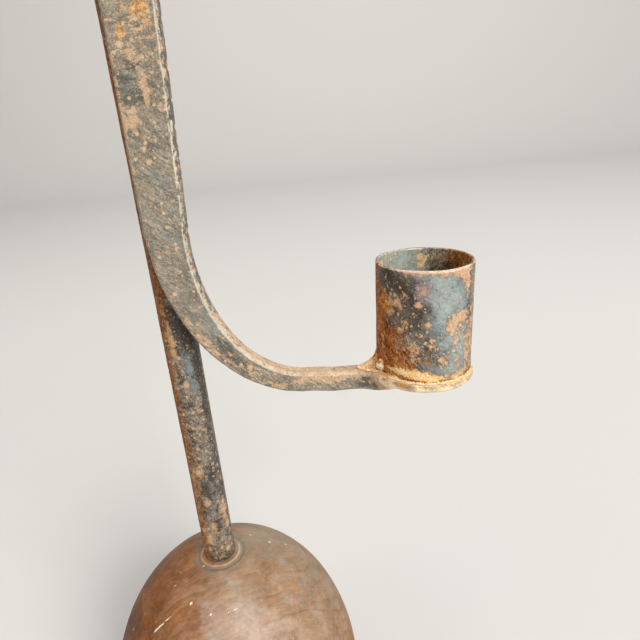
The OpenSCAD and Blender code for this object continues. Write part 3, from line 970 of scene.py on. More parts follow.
@dataclass
class WoodenBase:
    """The turned base with the rove let into its underside. Lengths in millimetres."""

    belly_h: float = 11.0
    dome_h: float = 54.0
    foot_r: float = 37.0
    seat_r: float = 6.4
    groove_w: float = 1.4
    groove_t: float = 0.32
    hole_r: float = 3.5
    recess_r: float = 10.1
    recess_h: float = 3.0
    columns: int = 360
    dome_rows: int = 120
    ring_z: float = 64.35

    def section(self, radius: float) -> list[tuple[float, float]]:
        """The outline that is turned, from the hole's foot up, over the dome and back.

        Args:
            radius: The largest radius.

        Returns:
            Points as distance from the axis and height.
        """

        def dome(r: float) -> float:
            """Height of the dome at a distance from the axis."""
            return self.belly_h + self.dome_h * math.sqrt(1 - (r / radius) ** 2)

        hole = [(self.hole_r, z) for z in np.linspace(self.recess_h, self.ring_z, 12)]
        seat = [(r, self.ring_z) for r in np.linspace(self.hole_r + 0.4, self.seat_r - 0.25, 6)]
        edge = [(self.seat_r - 0.1, self.ring_z - 0.03), (self.seat_r, self.ring_z - 0.15)]
        groove = []
        for share in np.linspace(0, 1, 9)[1:]:
            r = self.seat_r + self.groove_w * share
            groove.append((r, dome(r) - self.groove_t * math.sin(math.pi * share) ** 0.7))
        start = math.acos((self.seat_r + self.groove_w) / radius)
        upper = []
        for share in np.linspace(1, 0, self.dome_rows)[1:]:
            r = radius * math.cos(start * share)
            upper.append((r, dome(min(r, radius))))
        roll = []
        for angle in np.linspace(math.pi / 2, 0, 18)[1:]:
            r = self.foot_r + (radius - self.foot_r) * math.sin(angle)
            roll.append((r, self.belly_h * (1 - math.cos(angle))))
        foot = [(r, 0.0) for r in np.linspace(self.foot_r - 1.0, self.recess_r, 14)]
        recess = [(self.recess_r, z) for z in (1.0, 2.0, self.recess_h)]
        ceiling = [(r, self.recess_h) for r in np.linspace(self.recess_r, self.hole_r, 5)[1:-1]]
        return hole + seat + edge + groove + upper + roll + foot + recess + ceiling

    def build(self) -> Skin:
        """Turns the base.

        Returns:
            The wooden piece.
        """
        low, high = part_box("base")
        radius = (high.x - low.x) / 2 / MM
        self.ring_z = high.z / MM
        section = np.array(self.section(radius))
        angles = np.linspace(0, 2 * math.pi, self.columns, endpoint=False)
        grid = np.empty((len(section), self.columns, 3))
        grid[..., 0] = section[:, :1] * np.cos(angles)
        grid[..., 1] = section[:, :1] * np.sin(angles)
        grid[..., 2] = section[:, 1:]
        skin = turned("wooden_base", grid)
        skin.store("bend", skin.convexity(2))
        outside = ease(np.hypot(*skin.points.T[:2]), self.seat_r, self.seat_r + 4)
        above = ease(skin.points[:, 2], 1.0, 5.0)
        lumps = waves(skin.points, 22.0, 4) * 0.12 - 0.06
        dents = ease(waves(skin.points, 4.5, 9), 0.30, 0.75) * 0.10
        lathe = np.sin(skin.points[:, 2] * 2.3 + waves(skin.points, 30.0, 6) * 2) * 0.012
        skin.push((lumps - dents + lathe) * outside * above)
        return skin

    def dress(self, skin: Skin, effects: Effects) -> None:
        """Paints the wood and gives it its finish.

        Args:
            skin: The wooden piece.
            effects: The shared node groups.
        """
        chart = skin.points[:, :2]
        away = np.hypot(*chart.T)
        patches = [
            # A painted highlight over a scuffed place on the front, in the next three patches.
            Patch(Layer.BARE_AND_SHEEN, 9, -25, (12, 9), 0.62),
            Patch(Layer.BARE_AND_SHEEN, 3, -17, (9, 7), 0.24),
            Patch(Layer.BARE_AND_SHEEN, 24, -20, (10, 12), 0.22),
            Patch(Layer.DUST, 13, 10, (16, 16), 0.74),
            Patch(Layer.DUST, 34, 4, (9, 22), 0.44),
            Patch(Layer.DUST, 22, -18, (16, 16), 0.24),
            Patch(Layer.DUST, 0, 34, (36, 16), 0.50),
            Patch(Layer.DUST, 3, -14, (10, 8), 0.26),
            # The broad warm patch on the far left is painted shade on that side, with the varnished finish.
            Patch(Layer.RUST_AND_SHADE, -37, -10, (22, 28), 1.25),
            Patch(Layer.RUST_AND_SHADE, -20, 18, (16, 18), 0.36),
            Patch(Layer.RUST_AND_SHADE, -14, -18, (18, 20), 0.30),
            Patch(Layer.RUST_AND_SHADE, 34, 24, (18, 18), 0.40),
            Patch(Layer.RUST_AND_SHADE, 36, -12, (10, 18), 0.30),
            Patch(Layer.RUST_AND_SHADE, -8, -36, (18, 8), 0.40),
            # Painted shade on the far left side, in a darker tone.
            Patch(Layer.TINT, -45, -6, (15, 34), 1.15),
        ]
        skin.paint(chart, patches)
        wall = ease(40.0 - skin.points[:, 2], 0.0, 22.0)
        # Warmer and darker towards the bottom, and painted shade on faces turned downwards.
        skin.add(Layer.RUST_AND_SHADE, wall * 0.55 + ease(-skin.normals[:, 2], 0.2, 0.8) * 0.3)
        foot = skin.points[:, 2] > self.ring_z - 3
        # Painted shade in the groove round the seat.
        skin.add(Layer.SOOT_AND_SHADE, np.exp(-(((away - self.seat_r - 1.3) / 1.7) ** 2)) * 0.62 * foot)
        skin.add(Layer.CRUST, np.exp(-(((away - self.seat_r + 0.2) / 0.34) ** 2)) * 0.70 * foot)
        finish = WoodFinish(
            name="old_turned_wood",
            scratches=(
                Scratch((-29.1, -11.3, 46.5), (-13.4, -8.9, 60.8), 0.26, 1.0),
                Scratch((-19.4, -18.0, 52.6), (-16.4, -17.5, 54.9), 0.40, 0.4),
                Scratch((-15.6, -17.2, 55.6), (-13.2, -16.9, 57.3), 0.24, 0.9),
                Scratch((-7.6, -15.8, 60.0), (-7.4, -15.7, 60.1), 0.55),
                Scratch((-1.2, -19.4, 58.7), (-1.0, -19.2, 58.8), 0.32),
                Scratch((-5.0, -5.4, 64.0), (-4.6, -5.2, 64.1), 0.30),
                Scratch((8.7, 8.3, 62.7), (8.8, 8.4, 62.7), 0.34),
                Scratch((15.3, 6.4, 60.5), (15.3, 6.5, 60.5), 0.46),
                Scratch((20.3, 8.9, 56.6), (20.4, 8.9, 56.5), 0.30),
                Scratch((4.0, -19.0, 58.6), (7.5, -17.8, 58.9), 0.24, 0.9),
                Scratch((21.0, -20.5, 51.0), (23.5, -18.0, 51.2), 0.24, 0.8),
                Scratch((-23.0, -21.0, 49.0), (-21.0, -22.5, 49.0), 0.22, 0.7),
            ),
        )
        place(skin, "base", Body.STAND, Slot.WOOD, finish.material(effects))


@dataclass
class Stem:
    """The stem with the fixed jaw, and the rivet and roves that hold it. Lengths in millimetres."""

    radius: float = 4.9
    facing: float = 285.3
    voxel: float = 0.42

    def patches(self) -> list[Patch]:
        """What lies on the stem: along is measured round it to the right, up is the height."""
        spots = [
            (-0.8, 127.7, 1.4), (-3.6, 126.6, 0.9), (-3.4, 118.2, 0.8), (-1.2, 113.6, 0.8), (-0.4, 118.8, 0.7),
            (-1.2, 106.7, 0.8), (-2.2, 98.6, 1.5), (-1.4, 87.4, 1.6), (3.8, 86.0, 1.1), (3.5, 82.8, 1.6),
            (4.3, 77.4, 1.5), (2.7, 68.5, 1.4), (-0.6, 78.2, 1.0), (-2.2, 74.6, 1.1), (-4.0, 77.0, 1.0),
            (2.6, 100.3, 0.8), (0.5, 111.3, 0.6), (1.3, 105.3, 0.6), (0.6, 69.8, 0.9), (-3.2, 69.6, 1.2),
        ]
        made = [Patch(Layer.SPOT, x, z, (r, r * 1.15)) for x, z, r in spots]
        made += [
            Patch(Layer.CRUST, -2.7, 139.9, (1.3, 6.0), 0.48),
            Patch(Layer.CRUST, -2.2, 98.0, (1.8, 2.6), 0.40),
            Patch(Layer.CRUST, -1.2, 87.6, (1.5, 2.0), 0.30),
            Patch(Layer.CRUST, -1.0, 78.0, (1.6, 2.2), 0.34),
            Patch(Layer.CRUST, -2.6, 73.6, (1.4, 2.0), 0.30),
            Patch(Layer.CRUST, 3.6, 83.4, (1.3, 3.6), 0.26),
            Patch(Layer.CRUST, 4.4, 76.4, (1.0, 3.0), 0.26),
            Patch(Layer.CRUST, -5.0, 90.0, (1.2, 22.0), 0.26),
            Patch(Layer.CRUST, 0.0, 70.0, (5.5, 9.0), 0.16),
            Patch(Layer.CRUST, 2.6, 84.0, (2.0, 6.0), 0.14),
            Patch(Layer.CRUST, 0.8, 106.0, (3.0, 12.0), 0.10),
            Patch(Layer.CRUST, 1.0, 112.0, (3.4, 9.0), 0.12),
            # Bared metal under a painted sheen, a painted reflection, in the next three patches.
            Patch(Layer.BARE_AND_SHEEN, 1.8, 88.0, (2.4, 16.0), 0.22),
            Patch(Layer.BARE_AND_SHEEN, 1.2, 131.0, (1.9, 6.5), 1.00),
            Patch(Layer.BARE_AND_SHEEN, 1.4, 108.0, (2.4, 14.0), 0.28),
            # Soot down the right side, partly a painted dark reflection, in the next two patches.
            Patch(Layer.SOOT_AND_SHADE, 4.4, 132.0, (1.7, 16.0), 0.60),
            Patch(Layer.SOOT_AND_SHADE, 5.2, 100.0, (1.2, 30.0), 0.25),
            Patch(Layer.SOOT_AND_SHADE, 3.6, 115.0, (0.8, 6.0), 0.30),
            Patch(Layer.SOOT_AND_SHADE, 2.6, 96.0, (2.4, 6.0), 0.16),
            Patch(Layer.SOOT_AND_SHADE, -0.6, 91.5, (1.3, 2.6), 0.45),
            Patch(Layer.SOOT_AND_SHADE, 0.0, 64.0, (7.0, 3.4), 0.30),
            # Painted shadow under the lever's crook.
            Patch(Layer.SOOT_AND_SHADE, 1.0, 145.0, (4.4, 5.5), 0.60),
            Patch(Layer.SOOT_AND_SHADE, -3.4, 112.0, (2.0, 26.0), 0.16),
            # Rust down the left edge, darkened as painted shade on that side, in the next two patches.
            Patch(Layer.RUST_AND_SHADE, -6.4, 110.0, (2.4, 60.0), 0.95),
            Patch(Layer.RUST_AND_SHADE, -4.4, 85.0, (1.6, 30.0), 0.44),
            Patch(Layer.SOOT_AND_SHADE, -2.8, 86.0, (1.0, 5.0), 0.24),
            Patch(Layer.SOOT_AND_SHADE, 1.2, 80.0, (0.9, 5.0), 0.40),
            Patch(Layer.SOOT_AND_SHADE, 1.6, 97.0, (1.2, 4.0), 0.36),
            # Painted shadow of the lever's strap on the stem, in warm brown and near black, in the next three
            # patches.
            Patch(Layer.RUST_AND_SHADE, -6.6, 185.0, (2.2, 44.0), 1.00),
            Patch(Layer.SOOT_AND_SHADE, -2.6, 196.0, (2.4, 36.0), 0.50),
            Patch(Layer.RUST_AND_SHADE, -3.4, 158.0, (3.0, 11.0), 0.62),
        ]
        return made

    def build(self) -> Skin:
        """Forges the stem from its solid.

        Returns:
            The stem.
        """
        skin = blank("stem", "iron_stem", self.voxel, 3)
        skin.store("bend", skin.convexity())
        at_pivot = np.linalg.norm(skin.points - pivot(), axis=1)
        free = ease(at_pivot, 7.0, 12.0) * ease(skin.points[:, 2], 62.0, 66.0)
        skin.push(Hammering(seed=3).depth(skin.points) * (0.15 + 0.85 * free))
        return skin

    def dress(self, skin: Skin, effects: Effects) -> None:
        """Paints the stem and gives it its finish.

        Args:
            skin: The stem.
            effects: The shared node groups.
        """
        turn = np.degrees(np.arctan2(skin.points[:, 1], skin.points[:, 0])) - self.facing
        along = np.radians((turn + 540) % 360 - 180) * self.radius
        chart = np.stack([along, skin.points[:, 2]], axis=1)
        skin.store("chart", np.column_stack([chart, np.zeros(len(chart))]))
        skin.paint(chart, self.patches())
        unseen = np.maximum(ease(np.abs(along + 0.5), 7.0, 9.5), ease(skin.points[:, 2], 225.0, 232.0))
        skin.weather(unseen, 12.0, 71)
        finish = IronFinish(
            name="blackened_forged_iron",
            ground=("#2A2622", "#585048", "#857A6E", "#AC9E8D"),
            sheen=("#454B4B", "#6A7272", "#8C9491"),
            soot=("#14130F", "#2C2A25"),
            rust=("#3A200F", "#6E421F", "#96602F", "#B98046"),
            crust=("#836548", "#B8946C", "#D6B88E"),
            fleck="#C4A686",
            arris="#B9A58A",
            crumble=0.34,
            crust_soft=0.12,
            spot_soft=0.65,
            spot_ragged=0.50,
            gloss=0.40,
            crust_cover=0.21,
            rust_cover=0.16,
            soot_cover=0.34,
            fleck_share=0.40,
            grit=0.42,
            arris_cover=0.25,
            mottle=1.45,
            stroke=0.10,
            speckle=0.40,
        )
        place(skin, "stem", Body.STAND, Slot.FORGED, finish.material(effects))

    def fasten(self, effects: Effects) -> None:
        """Makes the rivet, its rove and the rove under the wood.

        Args:
            effects: The shared node groups.
        """
        finish = IronFinish(name="hammered_rivet_iron", rust_cover=0.36, mottle=1.1, arris_cover=0.4)
        material = finish.material(effects)
        for node, name, voxel in (
            ("pivot_rivet", "pivot_rivet_hammered", 0.22),
            ("pivot_rove", "pivot_rove_worn", 0.20),
            ("tang_rove", "tang_rove_worn", 0.28),
        ):
            skin = blank(node, name, voxel, 2)
            skin.store("bend", skin.convexity())
            dents = Hammering(lump_size=2.6, lump_height=0.05, pit_depth=0.05, seed=7)
            middle = skin.points.mean(0)
            reach = np.abs(skin.points - middle)[:, 1 if node == "pivot_rivet" else 2]
            outer = ease(reach, reach.max() * 0.55, reach.max() * 0.8) if node == "pivot_rivet" else 0.5
            skin.push(dents.depth(skin.points) * outer)
            skin.store("chart", skin.points)
            skin.paint(skin.points[:, ::2], [])
            place(skin, node, Body.STAND, Slot.FORGED, material)


def pivot() -> np.ndarray:
    """Where the lever turns, in millimetres."""
    return np.array(frame["joints"][0]["pos_m"]) / MM


@dataclass
class Lever:
    """The lever, from its jaw down to the pad of the candle socket. Lengths in millimetres."""

    strap_x: float = 3.5
    strap_top_x: float = 5.1
    crook_reach: float = 31.6
    crook_rise: float = 44.0
    bar_h: float = 126.8
    bar_arch: float = 0.6
    pad_x: float = 66.0
    voxel: float = 0.34
    stroke_angle: float = 0.7

    def path(self) -> np.ndarray:
        """The middle line of the lever, from the pivot down to the pad.

        Returns:
            Rows of x and z.
        """
        centre = (self.strap_x + self.crook_reach, self.bar_h + self.crook_rise)
        strap = [
            (self.strap_x + (self.strap_top_x - self.strap_x) * share, centre[1] + (pivot()[2] - centre[1]) * share)
            for share in np.linspace(1, 0, 40)[:-1]
        ]
        crook = [
            (
                centre[0] - self.crook_reach * math.cos(a),
                centre[1] - self.crook_rise * math.sin(a) + self.bar_arch * math.sin(a) ** 4,
            )
            for a in np.linspace(0, math.pi / 2, 60)
        ]
        bar = [(x, self.bar_h) for x in np.linspace(centre[0] + 8, self.pad_x + 14, 36)]
        return np.array(strap + crook + bar)

    def chart(self, points: np.ndarray) -> np.ndarray:
        """Where each point lies along the path, and how far over it.

        Args:
            points: Rows of three, in millimetres.

        Returns:
            Rows of the length from the pivot, the distance to the upper side, and the upper side's own
            direction as x and z.
        """
        path = self.path()
        steps = np.diff(path, axis=0)
        lengths = np.linalg.norm(steps, axis=1)
        far = np.concatenate([[0], np.cumsum(lengths)])
        flat = points[:, [0, 2]]
        best = np.full(len(flat), 1e9)
        chart = np.zeros((len(flat), 4))
        for k, (start, step, length) in enumerate(zip(path, steps, lengths)):
            offset = flat - start
            share = np.clip(offset @ step / length**2, 0, 1)
            gap = np.linalg.norm(offset - share[:, None] * step, axis=1)
            side = (step[0] * offset[:, 1] - step[1] * offset[:, 0]) / length
            near = gap < best
            best[near] = gap[near]
            chart[near, 0] = (far[k] + share * length)[near]
            chart[near, 1] = side[near]
            chart[near, 2:] = (-step[1] / length, step[0] / length)
        return chart

    def build(self) -> Skin:
        """Forges the lever from its solid.

        Returns:
            The lever.
        """
        skin = blank("lever", "iron_lever", self.voxel, 2)
        skin.store("bend", skin.convexity())
        at_pivot = np.linalg.norm(skin.points - pivot(), axis=1)
        free = ease(at_pivot, 7.0, 12.0)
        depth = Hammering(lump_size=8.0, lump_height=0.12, pit_depth=0.07, seed=11).depth(skin.points)
        groove = self.groove(skin) * 0.16
        beside = ease(skin.normals[:, 0], 0.35, 0.75) * ease(skin.points[:, 2], 160.0, 180.0)
        chips = ease(waves(skin.points, 1.7, 61, 2), 0.02, 0.45) * 0.24 * beside
        skin.push((depth - chips) * (0.1 + 0.9 * free) - groove)
        return skin

    def level_near_top(self, flat: np.ndarray) -> np.ndarray:
        """Turns the chart back near the strap's top, so that the strokes run level there.

        Args:
            flat: Rows of x and z.

        Returns:
            The chart, in the same shape.
        """
        middle = np.array([5.0, 208.0])
        turn = -self.stroke_angle * ease(flat[:, 1], 199.0, 205.0)
        x, z = (flat - middle).T
        level = np.stack([x * np.cos(turn) - z * np.sin(turn), x * np.sin(turn) + z * np.cos(turn)], axis=1)
        return level + middle

    def wear(self, skin: Skin, lean: np.ndarray, pad: np.ndarray) -> None:
        """Draws the thin worn lines along the arrises in place of the mesh's own bend.

        Args:
            skin: The lever.
            lean: How far each vertex faces the upper side, from -1 to 1.
            pad: The share of each vertex in the pad.
        """
        bend = skin.stored_as("bend")
        front = ease(-skin.normals[:, 1], 0.45, 0.65)
        line = np.exp(-(((lean - 0.40) / 0.25) ** 2)) * front
        level = ease(skin.points[:, 0], 26.0, 40.0)
        band = ease(lean, 0.15, 0.40) * ease(lean, 0.90, 0.76) * front * (0.44 - 0.30 * level)
        second = np.exp(-(((lean - 0.90) / 0.06) ** 2)) * 0.45 * ease(-skin.normals[:, 1], 0.2, 0.4)
        lower = np.exp(-(((lean + 0.42) / 0.18) ** 2)) * front * 0.55
        drawn = np.minimum(bend, 0) + np.maximum.reduce([line * (0.9 - 0.35 * level), band, second, lower])
        skin.store("bend", bend * 0.6 * pad + drawn * (1 - pad))

    def groove(self, skin: Skin) -> np.ndarray:
        """The fold line that the hammer left along the upper side, behind the front arris."""
        upper = ease(skin.normals[:, 0] * 0.6 + skin.normals[:, 2], 0.5, 0.9)
        wander = waves(skin.points, 14.0, 51) * 0.5
        line = np.exp(-(((skin.points[:, 1] + 8.1 + wander * 0.5) / 0.34) ** 2))
        return line * upper * ease(skin.points[:, 2], 210.0, 190.0) * ease(-skin.points[:, 0], -52.0, -44.0)

    def patches(self) -> list[Patch]:
        """What lies on the front face: along is x and up is the height."""
        spots = [
            (2.5, 190.8, 0.8), (3.1, 187.8, 0.8), (5.4, 192.3, 0.5), (1.5, 212.4, 0.85), (6.6, 199.9, 0.55),
            (8.2, 203.5, 0.45), (3.3, 155.6, 0.75), (8.2, 155.8, 0.5), (4.6, 181.0, 0.4), (19.7, 133.8, 0.9),
            (17.4, 134.6, 0.6), (6.0, 160.0, 0.45), (14.9, 137.6, 0.45), (1.6, 194.0, 0.6), (3.0, 196.4, 0.5),
        ]
        made = [Patch(Layer.SPOT, x, z, (r, r)) for x, z, r in spots]
        made += [
            Patch(Layer.CRUST, 5.0, 213.0, (7.0, 8.0), 0.22),
            Patch(Layer.CRUST, 2.2, 215.4, (1.3, 2.6), -0.34),
            Patch(Layer.CRUST, 5.1, 200.8, (0.6, 3.6), 0.55),
            Patch(Layer.CRUST, 1.1, 196.8, (1.5, 2.6), 0.42),
            Patch(Layer.CRUST, -1.0, 200.0, (0.6, 14.0), 0.30),
            Patch(Layer.CRUST, 7.6, 197.0, (0.8, 4.0), 0.22),
            Patch(Layer.CRUST, 6.7, 144.6, (1.1, 5.0), 0.40, -25),
            Patch(Layer.CRUST, 3.8, 149.0, (0.8, 5.0), 0.20, -18),
            Patch(Layer.CRUST, 10.5, 139.5, (1.0, 4.0), 0.26, -40),
            Patch(Layer.CRUST, 14.4, 135.6, (0.9, 4.0), 0.16, -52),
            Patch(Layer.CRUST, 22.0, 131.5, (7.0, 3.4), 0.16),
            Patch(Layer.CRUST, 26.7, 127.1, (1.8, 0.9), 0.55),
            Patch(Layer.CRUST, 41.0, 128.8, (9.0, 1.5), 0.62),
            Patch(Layer.CRUST, 35.0, 127.4, (14.0, 4.0), 0.04),
            Patch(Layer.CRUST, 55.5, 126.6, (2.4, 1.4), 0.55),
            Patch(Layer.CRUST, 51.0, 129.2, (3.4, 0.8), 0.60),
            Patch(Layer.CRUST, 58.5, 128.8, (1.6, 0.8), -0.90),
            Patch(Layer.BRASS, 44.0, 129.3, (6.0, 0.8), 0.34),
            Patch(Layer.BRASS, 54.8, 127.8, (3.0, 1.4), 0.60),
            Patch(Layer.BRASS, 58.5, 128.8, (1.6, 0.8), -0.90),
            Patch(Layer.BRASS, 66.0, 127.2, (12.0, 1.1), 0.42),
            # A painted highlight along the pad's front rim, with wear.
            Patch(Layer.WORN_AND_HIGHLIGHT, 63.0, 125.8, (7.0, 0.7), 0.60),
            Patch(Layer.RUST_AND_SHADE, 58.5, 128.8, (1.7, 0.9), 1.20),
            # A painted highlight along the pad's front rim, with wear.
            Patch(Layer.WORN_AND_HIGHLIGHT, 65.5, 126.6, (3.0, 1.2), 0.80),
            Patch(Layer.RUST_AND_SHADE, 6.3, 218.3, (2.4, 1.7), 0.52),
            Patch(Layer.RUST_AND_SHADE, 2.2, 215.0, (1.4, 2.4), 0.78, 15),
            Patch(Layer.RUST_AND_SHADE, 8.0, 216.0, (1.2, 4.0), 0.20),
            Patch(Layer.RUST_AND_SHADE, 5.0, 226.0, (6.0, 7.0), 0.20),
            Patch(Layer.RUST_AND_SHADE, 52.6, 127.0, (0.8, 1.6), 0.60),
            Patch(Layer.SOOT_AND_SHADE, 1.9, 202.6, (2.3, 3.1), 0.50),
            Patch(Layer.SOOT_AND_SHADE, 0.6, 205.6, (1.2, 1.0), 0.50),
            Patch(Layer.SOOT_AND_SHADE, 6.9, 204.6, (1.8, 1.4), 0.30),
            Patch(Layer.SOOT_AND_SHADE, 3.9, 208.0, (1.8, 1.2), 0.34),
            Patch(Layer.SOOT_AND_SHADE, 12.8, 139.2, (3.6, 2.6), 0.34, 40),
            Patch(Layer.SOOT_AND_SHADE, 16.0, 136.0, (4.0, 2.4), 0.26, 30),
            Patch(Layer.SOOT_AND_SHADE, 20.0, 133.0, (3.0, 2.4), 0.24, 20),
            Patch(Layer.SOOT_AND_SHADE, 48.0, 126.4, (2.6, 1.2), 0.20),
            Patch(Layer.SOOT_AND_SHADE, 49.8, 126.4, (1.6, 1.4), 0.66),
            Patch(Layer.SOOT_AND_SHADE, 52.4, 126.4, (0.8, 1.6), 0.40),
            Patch(Layer.SOOT_AND_SHADE, 30.0, 127.8, (4.0, 1.6), 0.14),
            # Bared metal under a painted sheen, in the next four patches.
            Patch(Layer.BARE_AND_SHEEN, 11.1, 147.4, (1.8, 7.0), 0.55, -25),
            Patch(Layer.BARE_AND_SHEEN, 2.2, 203.0, (3.0, 3.8), 0.40),
            Patch(Layer.BARE_AND_SHEEN, 4.0, 175.0, (6.0, 18.0), 0.28),
            Patch(Layer.BARE_AND_SHEEN, 46.5, 127.0, (3.0, 1.4), 0.40),
            Patch(Layer.HATCH, 4.5, 186.0, (6.0, 10.0), 0.50),
            Patch(Layer.HATCH, 5.0, 166.0, (6.0, 12.0), 0.40),
            Patch(Layer.HATCH, 12.0, 142.0, (6.0, 8.0), 0.30),
            Patch(Layer.TINT, 7.4, 143.5, (1.3, 5.0), 0.46, -28),
            Patch(Layer.TINT, 13.0, 137.4, (1.3, 4.6), 0.40, -45),
            Patch(Layer.TINT, 24.0, 131.0, (6.0, 1.6), 0.34, 15),
        ]
        return made

    def dress(self, skin: Skin, effects: Effects) -> None:
        """Paints the lever and gives it its finish.

        Args:
            skin: The lever.
            effects: The shared node groups.
        """
        flat = skin.points[:, [0, 2]]
        skin.store("chart", np.column_stack([self.level_near_top(flat), skin.points[:, 1]]))
        front = ease(-skin.normals[:, 1], 0.35, 0.75)
        skin.paint(flat, self.patches(), front)
        path = self.chart(skin.points)
        low = ease(path[:, 0], 75.0, 115.0)
        pad = ease(skin.points[:, 0], 50.0, 56.0)
        unseen = np.maximum(ease(skin.normals[:, 1], 0.0, 0.5), ease(skin.points[:, 2], 224.0, 232.0))
        skin.weather(unseen * (1 - pad), 13.0, 81)
        lean = (skin.normals[:, [0, 2]] * path[:, 2:]).sum(1)
        upper = ease(lean, 0.50, 0.80)
        self.wear(skin, lean, pad)
        skin.add(Layer.CRUST, upper * (0.12 + 0.28 * low))
        high = ease(skin.points[:, 2], 176.0, 196.0)
        skin.add(Layer.SOOT_AND_SHADE, upper * (0.26 + 0.34 * high - 0.24 * low) + self.groove(skin) * 0.8)
        top = ease(skin.normals[:, 2], 0.2, 0.7)
        skin.add(Layer.CRUST, pad * (0.36 + 0.14 * top))
        skin.add(Layer.BRASS, pad * (0.30 + 0.30 * top))
        finish = IronFinish(
            name="rusted_lever_iron",
            ground=("#5E594E", "#7C7567", "#968C7B", "#B0A592"),
            sheen=("#5B6260", "#858A84", "#B4B7AE"),
            soot=("#3E3D37", "#615E55"),
            rust=("#8A5F36", "#B57D45", "#D09A58", "#DDB27A"),
            crust=("#A2866E", "#C2A382", "#DDC4A4"),
            tint=("#A58C7C", "#C2A594", "#D6BCAA"),
            brass=("#C09660", "#E0BE8A", "#F0DCB4", "#FAF1DE"),
            fleck="#D6BC98",
            arris="#D2C7B6",
            crumble=0.30,
            crust_cover=0.29,
            rust_cover=0.12,
            soot_cover=0.27,
            fleck_share=0.24,
            grit=0.24,
            relief=0.20,
            arris_cover=0.62,
            stroke=0.12,
            stroke_angle=self.stroke_angle,
            stretch=1.6,
            speckle=0.55,
            charted=True,
        )
        place(skin, "lever", Body.LEVER, Slot.FORGED, finish.material(effects))


